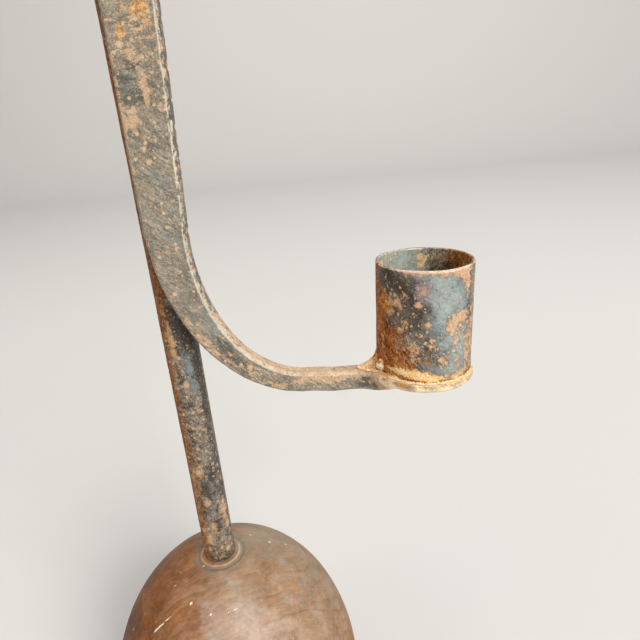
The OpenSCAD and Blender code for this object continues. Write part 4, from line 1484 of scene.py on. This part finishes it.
@dataclass
class CandleSocket:
    """The rolled socket and its brazing. Lengths in millimetres, angles in degrees round its axis."""

    wall: float = 0.9
    seam_at: float = 90.0
    seam_turn: float = 22.9
    seam_t: float = 0.6
    facing: float = 258.8
    columns: int = 420
    rows: int = 96
    rim_rows: int = 6
    nugget: Point = (54.2, -11.9, 132.0)

    def axes(self) -> tuple[Matrix, float, float]:
        """Reads the socket's mount.

        Returns:
            The matrix from the socket's own frame at its foot, its bore radius and its height.
        """
        mount = next(m for m in frame["record"]["mounts"] if m["name"] == "candle_socket")
        up = Vector(mount["axis"]).normalized()
        side = Vector((up.z, 0, -up.x))
        height = mount["dims"]["length_mm"]
        foot = Vector(mount["pos_m"]) / MM - up * height
        turn = Matrix((side, up.cross(side), up)).transposed().to_4x4()
        return Matrix.Translation(foot) @ turn, mount["dims"]["r_mm"], height

    def build(self) -> Skin:
        """Rolls the tube, with its lapped seam and its uneven rim.

        Returns:
            The tube.
        """
        matrix, bore, height = self.axes()
        angles = np.linspace(0, 360, self.columns, endpoint=False)
        from_seam = (angles - self.seam_at + 180) % 360 - 180
        lap = ease(from_seam, -self.seam_turn / 2 - 2.4, -self.seam_turn / 2 + 4.0)
        lap *= 1 - ease(from_seam, self.seam_turn / 2 - 0.7, self.seam_turn / 2 + 0.7)
        outer = bore + self.wall + lap * self.seam_t
        ring = np.column_stack([np.cos(np.radians(angles)), np.sin(np.radians(angles)), 0 * angles])
        dip = waves(ring * 9, 5.0, 21) * 0.16 - 0.08
        rows = []
        rise = np.linspace(0, 1, self.rows)
        for share in rise:
            rows.append((outer, share * (height - 0.3 + dip)))
        for angle in np.linspace(0, math.pi, self.rim_rows + 2)[1:-1]:
            middle, half = (outer + bore) / 2, (outer - bore) / 2
            rows.append((middle + half * math.cos(angle), height - 0.3 + dip + 0.3 * math.sin(angle)))
        for share in rise[::-1]:
            rows.append((bore + 0 * outer, share * (height - 0.3 + dip)))
        rows.append(((outer + bore) / 2, 0 * outer))
        grid = np.empty((len(rows), self.columns, 3))
        for k, (r, z) in enumerate(rows):
            grid[k] = np.column_stack([ring[:, 0] * r, ring[:, 1] * r, z])
        skin = turned("socket_tube", grid)
        local = skin.points.copy()
        skin.store("bend", skin.convexity(2) * 2.0)
        away = np.hypot(local[:, 0], local[:, 1])
        outside = ease(away, bore + self.wall * 0.4, bore + self.wall * 0.7)
        depth = Hammering(lump_size=7.0, lump_height=0.07, pit_depth=0.10, pit_size=1.1, seed=31).depth(local)
        free = ease(local[:, 2], 0.5, 2.5)
        chart = self.unrolled(local)
        skin.push(depth * outside * free)
        skin.store("chart", chart)
        skin.piece.data.transform(Matrix.Scale(MM, 4) @ matrix @ Matrix.Scale(1 / MM, 4))
        skin.refresh()
        return skin

    def unrolled(self, local: np.ndarray) -> np.ndarray:
        """Unrolls the tube, cut open along the step of the seam.

        Args:
            local: Rows of three in the socket's own frame, in millimetres.

        Returns:
            Rows of the millimetres right of the seen side, the height and the distance to the axis.
        """
        step = self.seam_at + self.seam_turn / 2
        turn = (np.degrees(np.arctan2(local[:, 1], local[:, 0])) - step) % 360 - (self.facing - step)
        away = np.hypot(local[:, 0], local[:, 1])
        return np.column_stack([np.radians(turn) * 12.5, local[:, 2], away])

    def patches(self) -> list[Patch]:
        """What lies on the outside: along is measured round it to the right of the seen side."""
        spots = [
            (-1.5, 21.0, 1.05), (0.9, 16.1, 0.9), (0.7, 14.2, 0.35), (-0.7, 13.3, 0.5), (-6.1, 25.1, 0.4),
            (8.1, 10.6, 0.7), (7.9, 8.4, 0.7), (-7.6, 23.0, 0.6), (-8.6, 24.2, 0.4), (-2.6, 18.8, 0.35),
            (-4.4, 15.0, 0.4), (4.2, 6.6, 0.8), (5.6, 5.4, 0.6), (12.6, 14.8, 0.5), (2.4, 11.9, 0.5),
            (1.6, 10.4, 0.6), (-4.8, 20.6, 0.3), (9.6, 4.0, 0.45), (3.4, 9.6, 0.35), (-9.4, 18.2, 0.5),
            (6.0, 17.8, 0.45), (9.8, 14.8, 0.6), (7.0, 13.0, 0.5), (10.8, 13.2, 0.5), (12.0, 17.8, 0.45),
            (9.0, 18.8, 0.35), (11.4, 11.0, 0.5), (6.4, 8.2, 0.45), (10.2, 8.6, 0.4), (12.2, 21.6, 0.35),
            (-10.6, 27.0, 0.4), (-10.0, 24.9, 0.35), (-9.4, 22.0, 0.45), (-10.8, 20.6, 0.4), (-6.6, 18.2, 0.45),
            (-5.6, 16.4, 0.35), (-3.4, 13.6, 0.35), (-1.6, 8.6, 0.4), (-4.0, 9.6, 0.35), (-11.2, 23.6, 0.35),
        ]
        made = [Patch(Layer.SPOT, x, z, (r, r)) for x, z, r in spots]
        made += [
            Patch(Layer.TINT, -0.6, 24.4, (2.4, 2.3), 0.95),
            Patch(Layer.TINT, -3.4, 28.6, (3.0, 1.0), 0.60),
            Patch(Layer.TINT, -4.6, 12.0, (3.0, 2.2), 0.34),
            Patch(Layer.CRUST, -0.4, 24.5, (1.8, 1.9), 0.16),
            Patch(Layer.CRUST, 8.0, 16.8, (1.9, 1.6), 0.54),
            Patch(Layer.CRUST, 10.6, 17.2, (1.6, 1.8), 0.46),
            Patch(Layer.CRUST, 9.8, 13.0, (2.0, 4.0), 0.10),
            Patch(Layer.CRUST, 6.4, 14.4, (1.4, 1.4), 0.44),
            Patch(Layer.CRUST, 8.0, 12.2, (1.4, 2.2), 0.34),
            Patch(Layer.CRUST, 11.9, 24.4, (1.0, 2.2), 0.48),
            Patch(Layer.CRUST, 11.0, 27.4, (1.4, 1.4), 0.48),
            Patch(Layer.CRUST, 15.5, 12.0, (2.4, 14.0), 0.32),
            Patch(Layer.CRUST, -7.6, 20.6, (1.5, 4.2), 0.38, 38),
            Patch(Layer.CRUST, -10.6, 22.4, (1.8, 1.6), 0.22, 30),
            Patch(Layer.CRUST, -10.6, 26.2, (2.2, 0.8), 0.20, 35),
            Patch(Layer.CRUST, -5.0, 15.6, (0.8, 4.0), 0.30, 38),
            Patch(Layer.CRUST, -5.0, 12.0, (2.4, 1.7), 0.14),
            Patch(Layer.CRUST, -1.9, 10.2, (2.4, 1.5), 0.14),
            Patch(Layer.CRUST, 1.8, 11.8, (1.2, 2.0), 0.36),
            Patch(Layer.CRUST, -2.5, 7.4, (4.0, 3.0), 0.24),
            Patch(Layer.CRUST, 4.8, 6.2, (1.6, 2.4), 0.38),
            Patch(Layer.CRUST, 8.6, 4.4, (2.0, 2.4), 0.32),
            Patch(Layer.CRUST, 12.6, 8.0, (1.4, 6.0), 0.34),
            Patch(Layer.CRUST, 9.0, 1.4, (6.0, 1.3), 0.38),
            Patch(Layer.CRUST, 0.5, 28.9, (8.0, 0.8), 0.44),
            Patch(Layer.CRUST, 10.0, 28.4, (4.0, 1.6), 0.46),
            Patch(Layer.BRASS, -1.2, 2.5, (2.8, 1.3), 1.10, 10),
            Patch(Layer.BRASS, -5.2, 2.6, (2.4, 1.0), 0.62, 10),
            Patch(Layer.BRASS, -9.0, 2.8, (2.0, 0.7), 0.58),
            Patch(Layer.BRASS, 2.6, 1.6, (2.6, 0.9), 0.80),
            Patch(Layer.RUST_AND_SHADE, -7.4, 2.6, (4.0, 1.4), 0.50),
            Patch(Layer.BRASS, 9.0, 1.0, (6.0, 0.9), 0.40),
            Patch(Layer.CRUST, -13.0, 3.0, (3.0, 3.0), -0.50),
            Patch(Layer.RUST_AND_SHADE, -12.4, 3.6, (2.6, 3.2), 0.40),
            Patch(Layer.SOOT_AND_SHADE, -10.6, 3.4, (0.7, 1.8), 0.90),
            Patch(Layer.BRASS, -6.0, 5.0, (6.0, 3.0), 0.26),
            Patch(Layer.BRASS, -9.2, 20.4, (2.4, 3.4), 0.48, 36),
            Patch(Layer.BRASS, -12.0, 10.0, (1.4, 5.0), 0.42),
            Patch(Layer.BRASS, -10.6, 25.4, (1.6, 1.6), 0.36, 36),
            Patch(Layer.RUST_AND_SHADE, -10.6, 5.4, (2.4, 2.6), 0.34),
            Patch(Layer.RUST_AND_SHADE, -11.6, 20.6, (1.6, 3.4), 0.44, 30),
            Patch(Layer.RUST_AND_SHADE, -10.8, 11.5, (1.4, 4.0), 0.40),
            Patch(Layer.RUST_AND_SHADE, -12.4, 17.0, (1.8, 6.0), 0.36),
            Patch(Layer.RUST_AND_SHADE, -12.5, 5.0, (4.6, 6.0), 0.50),
            Patch(Layer.RUST_AND_SHADE, -8.4, 10.0, (3.0, 5.0), 0.36, 30),
            Patch(Layer.RUST_AND_SHADE, -9.0, 19.5, (3.0, 2.2), 0.26, 30),
            # Painted shade down the left side, in rust tones, over the rust there.
            Patch(Layer.RUST_AND_SHADE, -18.5, 14.0, (5.0, 24.0), 0.80),
            Patch(Layer.RUST_AND_SHADE, -4.8, 5.6, (4.8, 3.0), 0.32),
            Patch(Layer.RUST_AND_SHADE, 0.0, 0.8, (40.0, 0.6), 0.60),
            Patch(Layer.RUST_AND_SHADE, -3.4, 9.0, (5.0, 5.0), 0.16),
            # Bared metal under a painted sheen, a painted reflection on the right of the front, in the next nine
            # patches.
            Patch(Layer.BARE_AND_SHEEN, 2.4, 24.6, (3.8, 5.6), 0.56),
            Patch(Layer.BARE_AND_SHEEN, 6.4, 24.5, (4.4, 5.0), 0.75),
            Patch(Layer.BARE_AND_SHEEN, 4.2, 16.5, (3.2, 6.5), 0.80),
            Patch(Layer.BARE_AND_SHEEN, 10.0, 12.6, (2.8, 6.0), 0.62),
            Patch(Layer.BARE_AND_SHEEN, 2.0, 28.0, (7.0, 1.4), 0.50),
            Patch(Layer.BARE_AND_SHEEN, 10.8, 20.0, (2.8, 5.0), 0.46),
            Patch(Layer.BARE_AND_SHEEN, 9.6, 6.4, (3.6, 5.4), 0.80),
            Patch(Layer.BARE_AND_SHEEN, 5.0, 4.0, (4.4, 3.0), 0.62),
            Patch(Layer.BARE_AND_SHEEN, 6.0, 10.0, (2.6, 4.0), 0.40),
            Patch(Layer.SOOT_AND_SHADE, -9.6, 26.0, (5.4, 2.8), 0.74),
            Patch(Layer.SOOT_AND_SHADE, -4.2, 22.8, (2.6, 4.0), 0.48, 32),
            Patch(Layer.SOOT_AND_SHADE, -1.8, 17.0, (2.0, 5.0), 0.46, 32),
            Patch(Layer.SOOT_AND_SHADE, 1.6, 11.0, (1.8, 4.6), 0.34, 36),
            Patch(Layer.SOOT_AND_SHADE, 4.8, 7.0, (1.8, 3.6), 0.28, 36),
            Patch(Layer.SOOT_AND_SHADE, -9.6, 15.4, (1.8, 3.6), 0.44, 30),
            Patch(Layer.SOOT_AND_SHADE, -11.6, 26.2, (3.4, 3.0), 0.70),
            Patch(Layer.SOOT_AND_SHADE, -12.6, 12.4, (1.6, 2.6), 0.34),
            Patch(Layer.SOOT_AND_SHADE, 12.4, 20.2, (0.9, 2.2), 0.52),
            Patch(Layer.SOOT_AND_SHADE, 14.2, 17.0, (0.8, 2.6), 0.46),
            Patch(Layer.SOOT_AND_SHADE, 13.4, 9.0, (1.3, 3.0), 0.34),
            Patch(Layer.HATCH, -3.0, 7.0, (7.0, 6.0), 0.10),
            Patch(Layer.HATCH, -4.0, 16.0, (4.0, 5.0), 0.25),
            # A painted highlight along the front of the rim, with wear.
            Patch(Layer.WORN_AND_HIGHLIGHT, 2.0, 29.6, (10.0, 1.6), 0.85),
            Patch(Layer.RUST_AND_SHADE, -25.0, 12.0, (7.0, 24.0), 0.22),
            Patch(Layer.RUST_AND_SHADE, 23.0, 8.0, (5.0, 8.0), 0.42),
            Patch(Layer.RUST_AND_SHADE, 35.0, 3.0, (9.0, 4.0), 0.42),
            Patch(Layer.RUST_AND_SHADE, -30.0, 4.0, (5.0, 5.0), 0.40),
            Patch(Layer.CRUST, 21.0, 23.0, (4.0, 4.0), 0.34),
            Patch(Layer.CRUST, 33.0, 19.0, (4.0, 6.0), 0.26),
            Patch(Layer.CRUST, -29.0, 20.0, (4.0, 5.0), 0.24),
            Patch(Layer.CRUST, -22.0, 26.0, (3.0, 2.4), 0.36),
            Patch(Layer.BARE_AND_SHEEN, 27.0, 17.0, (4.0, 9.0), 0.60),
            Patch(Layer.BARE_AND_SHEEN, -33.0, 12.0, (3.0, 8.0), 0.50),
            Patch(Layer.SOOT_AND_SHADE, 38.0, 22.0, (3.0, 8.0), 0.36),
            Patch(Layer.SOOT_AND_SHADE, -26.0, 14.0, (3.0, 6.0), 0.30),
        ]
        return made

    def inner_patches_with_painted_light(self) -> list[Patch]:
        """What lies on the inside of the tube: painted light on the lit wall, painted shade in rust tones on the
        wall in shade, and stains.
        """
        return [
            # Painted light on the lit inner wall, as bared metal under a painted sheen.
            Patch(Layer.BARE_AND_SHEEN, -22.0, 26.0, (11.0, 14.0), 0.80),
            Patch(Layer.BARE_AND_SHEEN, -33.0, 26.0, (6.0, 14.0), 0.70),
            Patch(Layer.BARE_AND_SHEEN, 43.0, 26.0, (4.0, 14.0), 0.75),
            Patch(Layer.BARE_AND_SHEEN, 39.0, 26.0, (3.0, 14.0), 0.35),
            Patch(Layer.SOOT_AND_SHADE, 37.0, 24.0, (1.2, 6.0), 0.34),
            Patch(Layer.SOOT_AND_SHADE, 32.0, 26.0, (3.0, 12.0), 0.40),
            # Painted shade in rust tones on the inner wall in shade.
            Patch(Layer.RUST_AND_SHADE, 25.0, 24.0, (7.0, 16.0), 0.85),
            Patch(Layer.RUST_AND_SHADE, 12.0, 20.0, (10.0, 16.0), 0.60),
            Patch(Layer.CRUST, -24.0, 27.0, (8.0, 2.6), 0.30),
            Patch(Layer.CRUST, 40.5, 26.0, (2.4, 3.0), 0.46),
            Patch(Layer.CRUST, 36.0, 27.0, (2.0, 1.4), 0.34),
            Patch(Layer.BRASS, 39.6, 26.5, (1.0, 3.0), 0.45),
        ]

    def dress(self, skin: Skin, effects: Effects) -> None:
        """Paints the tube and gives it its finish.

        Args:
            skin: The tube.
            effects: The shared node groups.
        """
        rows = np.empty(len(skin.points) * 3, np.float32)
        skin.piece.data.attributes["chart"].data.foreach_get("vector", rows)
        rows = rows.reshape(-1, 3).astype(float)
        _, bore, _ = self.axes()
        outside = ease(rows[:, 2], bore + self.wall * 0.3, bore + self.wall * 0.6)
        skin.paint(rows[:, :2], self.inner_patches_with_painted_light(), 1 - outside)
        inside = {layer: skin.stored(layer) for layer in Layer if layer is not Layer.SPOT}
        skin.paint(rows[:, :2], self.patches(), outside)
        for layer, values in inside.items():
            skin.add(layer, values)
        finish = IronFinish(
            name="rolled_sheet_iron",
            ground=("#38332C", "#5C554B", "#7C7266", "#988E82"),
            sheen=("#3C4543", "#5F6E70", "#87989B", "#A5B1AD", "#BFC3B8"),
            soot=("#1A1713", "#3A332B"),
            rust=("#2E1203", "#733608", "#B4681A", "#DE9A42"),
            crust=("#A67C54", "#CDA47C", "#E2C3A2"),
            brass=("#7A3E10", "#C88A3E", "#EFC680", "#FFF0CE"),
            fleck="#DFBD98",
            arris="#EBD3BE",
            crust_cover=0.22,
            rust_cover=0.18,
            soot_cover=0.22,
            bare_sheen_cover=0.10,
            bare_sheen_soft=0.34,
            soot_soft=0.22,
            fleck_share=0.10,
            grit=0.20,
            stroke=0.16,
            stroke_angle=0.85,
            stretch=1.35,
            charted=True,
            arris_cover=0.22,
            mottle=1.5,
            shine=0.32,
            gloss=0.30,
            relief=0.12,
        )
        place(skin, "candle_socket", Body.LEVER, Slot.SHEET, finish.material(effects))
        # A lighter copy of the finish for the bore: painted light inside the tube.
        lit_bore_finish = replace(
            finish,
            name="socket_bore_iron_painted_light",
            ground=("#4A4238", "#7A7060", "#A89E8A", "#C4BCA8"),
            sheen=("#5E6A68", "#879592", "#A6B2AC", "#C6CDC4"),
            rust=("#3A1C0A", "#7A4414", "#B8742C", "#E0A052"),
            crust=("#B89460", "#DCC092", "#F0E0C0"),
        )
        skin.piece.data.materials.append(lit_bore_finish.material(effects))
        mesh = skin.piece.data
        corners = np.empty(len(mesh.polygons) * 4, np.int32)
        mesh.polygons.foreach_get("vertices", corners)
        in_bore = outside[corners].reshape(-1, 4).mean(1) < 0.4
        mesh.polygons.foreach_set("material_index", in_bore.astype(np.int32))

    def braze(self, effects: Effects) -> None:
        """Makes the lumpy brazing round the foot of the tube.

        Args:
            effects: The shared node groups.
        """
        x, y, z = self.nugget
        balls = [((x - 0.3, y + 0.2, z - 0.3), 1.15), ((x + 0.1, y, z + 0.8), 0.8), ((x + 0.7, y, z - 0.6), 0.8)]
        skin = blank("socket_braze", "socket_brazing", 0.16, 1, balls)
        skin.store("bend", skin.convexity())
        away = np.linalg.norm(skin.points - self.nugget, axis=1)
        bead = np.exp(-((away / 1.9) ** 6))
        lumps = waves(skin.points, 1.6, 41) * 0.07 + waves(skin.points, 0.6, 43) * 0.03
        skin.push(lumps - 0.02 + waves(skin.points, 0.9, 47, 2) * 0.22 * bead)
        skin.store("chart", skin.points)
        skin.paint(skin.points[:, ::2], [])
        top = ease(skin.points[:, 2], 131.0, 133.4) * (1 - bead)
        border = np.exp(-(((away - 2.2) / 0.5) ** 2)) * ease(skin.points[:, 2], z - 2.4, z - 1.4)
        dirt = bead * ease(waves(skin.points, 0.9, 53), 0.05, 0.35)
        skin.add(Layer.BRASS, bead * 0.9 - dirt)
        skin.add(Layer.SOOT_AND_SHADE, border * 1.1 + top * 0.15 + dirt * 0.6)
        skin.add(Layer.RUST_AND_SHADE, top * 0.6)
        skin.add(Layer.CRUST, -border - top * 0.5)
        finish = IronFinish(
            name="dull_braze",
            ground=("#BC7C38", "#EAAE62", "#FAD094", "#FFE8C2"),
            sheen=("#D69A50", "#F4C888", "#FCE4BA"),
            soot=("#3A1F0C", "#6A3C14"),
            rust=("#8A4A14", "#C07A30", "#DCA050", "#EAC284"),
            crust=("#EDB878", "#FCD9A8", "#FFEFD6"),
            brass=("#8A5420", "#DCB47C", "#F6E6C4", "#FFFAEE"),
            fleck="#F4E2B8",
            arris="#F0DCB0",
            crust_cover=0.50,
            rust_cover=0.24,
            soot_cover=0.10,
            speckle=0.22,
            mottle=1.2,
            relief=0.10,
        )
        place(skin, "socket_braze", Body.LEVER, Slot.BRAZE, finish.material(effects))


# The studio


@dataclass(frozen=True)
class Lamp:
    """A soft square lamp and the point that it faces. Metres and watts."""

    name: str
    place: Point
    side: float
    power: float
    tint: str = "#FFFFFF"
    aim: Point = (0.02, 0.0, 0.13)


@dataclass
class Studio:
    """A pale floor that rises into a backdrop, soft lamps, and the camera."""

    floor_tone: str = "#D6D5D2"
    world_tone: str = "#F1F2F4"
    world_power: float = 0.27
    eye: Point = (0.03917, -0.14277, 0.19504)
    tilt: float = 20.563
    roll: float = 5.213
    lens: float = 30.94
    lamps: tuple[Lamp, ...] = (
        Lamp("window", (1.86, -2.21, 1.87), 1.77, 142.5, "#FFFCF7", (0.02, 0.0, 2.10)),
        Lamp("overhead", (0.15, 0.10, 1.3), 0.9, 6.0),
        Lamp("warm_fill", (-1.88, -0.85, 0.67), 1.36, 9.25, "#FFDDB8"),
        Lamp("backdrop_wash", (0.0, 0.7, 2.3), 1.0, 13.0, aim=(0.0, 2.4, 1.0)),
    )

    def stage(self) -> None:
        """Makes the floor and backdrop in one curved sheet."""
        depth = [-1.9, -1.0, 0.0, 1.0, 1.6]
        line = [(y, 0.0) for y in depth]
        line += [(1.6 + 0.8 * math.sin(a), 0.8 - 0.8 * math.cos(a)) for a in np.linspace(0.1, math.pi / 2, 14)]
        line += [(2.4, 2.0), (2.4, 3.6)]
        points = [(x, y, z) for y, z in line for x in (-3.2, 3.2)]
        faces = [(2 * k, 2 * k + 1, 2 * k + 3, 2 * k + 2) for k in range(len(line) - 1)]
        mesh = bpy.data.meshes.new("pale_floor")
        mesh.from_pydata(points, [], faces)
        floor = link("pale_floor", mesh)
        made = bpy.data.materials.new("pale_floor")
        made.use_nodes = True
        shader = made.node_tree.nodes["Principled BSDF"]
        shader.inputs["Base Color"].default_value = colour(self.floor_tone)
        shader.inputs["Roughness"].default_value = 0.9
        shader.inputs["Specular IOR Level"].default_value = 0.2
        mesh.materials.append(made)

    def light(self) -> None:
        """Hangs the lamps and lights the world."""
        for lamp in self.lamps:
            data = bpy.data.lights.new(lamp.name, "AREA")
            data.size = lamp.side
            data.energy = lamp.power
            data.color = colour(lamp.tint)[:3]
            made = bpy.data.objects.new(lamp.name, data)
            bpy.context.scene.collection.objects.link(made)
            made.location = lamp.place
            made.rotation_mode = "QUATERNION"
            made.rotation_quaternion = (Vector(lamp.aim) - Vector(lamp.place)).to_track_quat("-Z", "Y")
        world = bpy.data.worlds.new("soft_room")
        world.use_nodes = True
        ground = world.node_tree.nodes["Background"]
        ground.inputs["Color"].default_value = colour(self.world_tone)
        ground.inputs["Strength"].default_value = self.world_power
        bpy.context.scene.world = world

    def camera(self) -> None:
        """Sets the camera where the photograph was taken from."""
        tilt, roll = math.radians(self.tilt), math.radians(self.roll)
        ahead = Vector((0, math.cos(tilt), -math.sin(tilt)))
        level = Vector((1, 0, 0))
        down = Vector((0, -math.sin(tilt), -math.cos(tilt)))
        right = level * math.cos(roll) + down * math.sin(roll)
        below = down * math.cos(roll) - level * math.sin(roll)
        data = bpy.data.cameras.new("camera")
        data.lens = self.lens
        data.sensor_width = 36.0
        data.clip_start = 0.005
        made = bpy.data.objects.new("camera", data)
        bpy.context.scene.collection.objects.link(made)
        turn = Matrix((right, -below, -ahead)).transposed().to_4x4()
        made.matrix_world = Matrix.Translation(Vector(self.eye)) @ turn
        bpy.context.scene.camera = made

    def build(self) -> None:
        """Makes the whole studio."""
        bpy.context.scene.view_settings.view_transform = "Standard"
        self.camera()
        self.stage()
        self.light()


def main() -> None:
    """Builds the studio and then each sub-assembly in order."""
    logging.basicConfig(level=logging.INFO, format="%(message)s")
    Studio().build()
    effects = Effects()
    base = WoodenBase()
    base.dress(base.build(), effects)
    stem = Stem()
    stem.dress(stem.build(), effects)
    stem.fasten(effects)
    lever = Lever()
    lever.dress(lever.build(), effects)
    socket = CandleSocket()
    socket.dress(socket.build(), effects)
    socket.braze(effects)


if __name__ == "__main__":
    main()
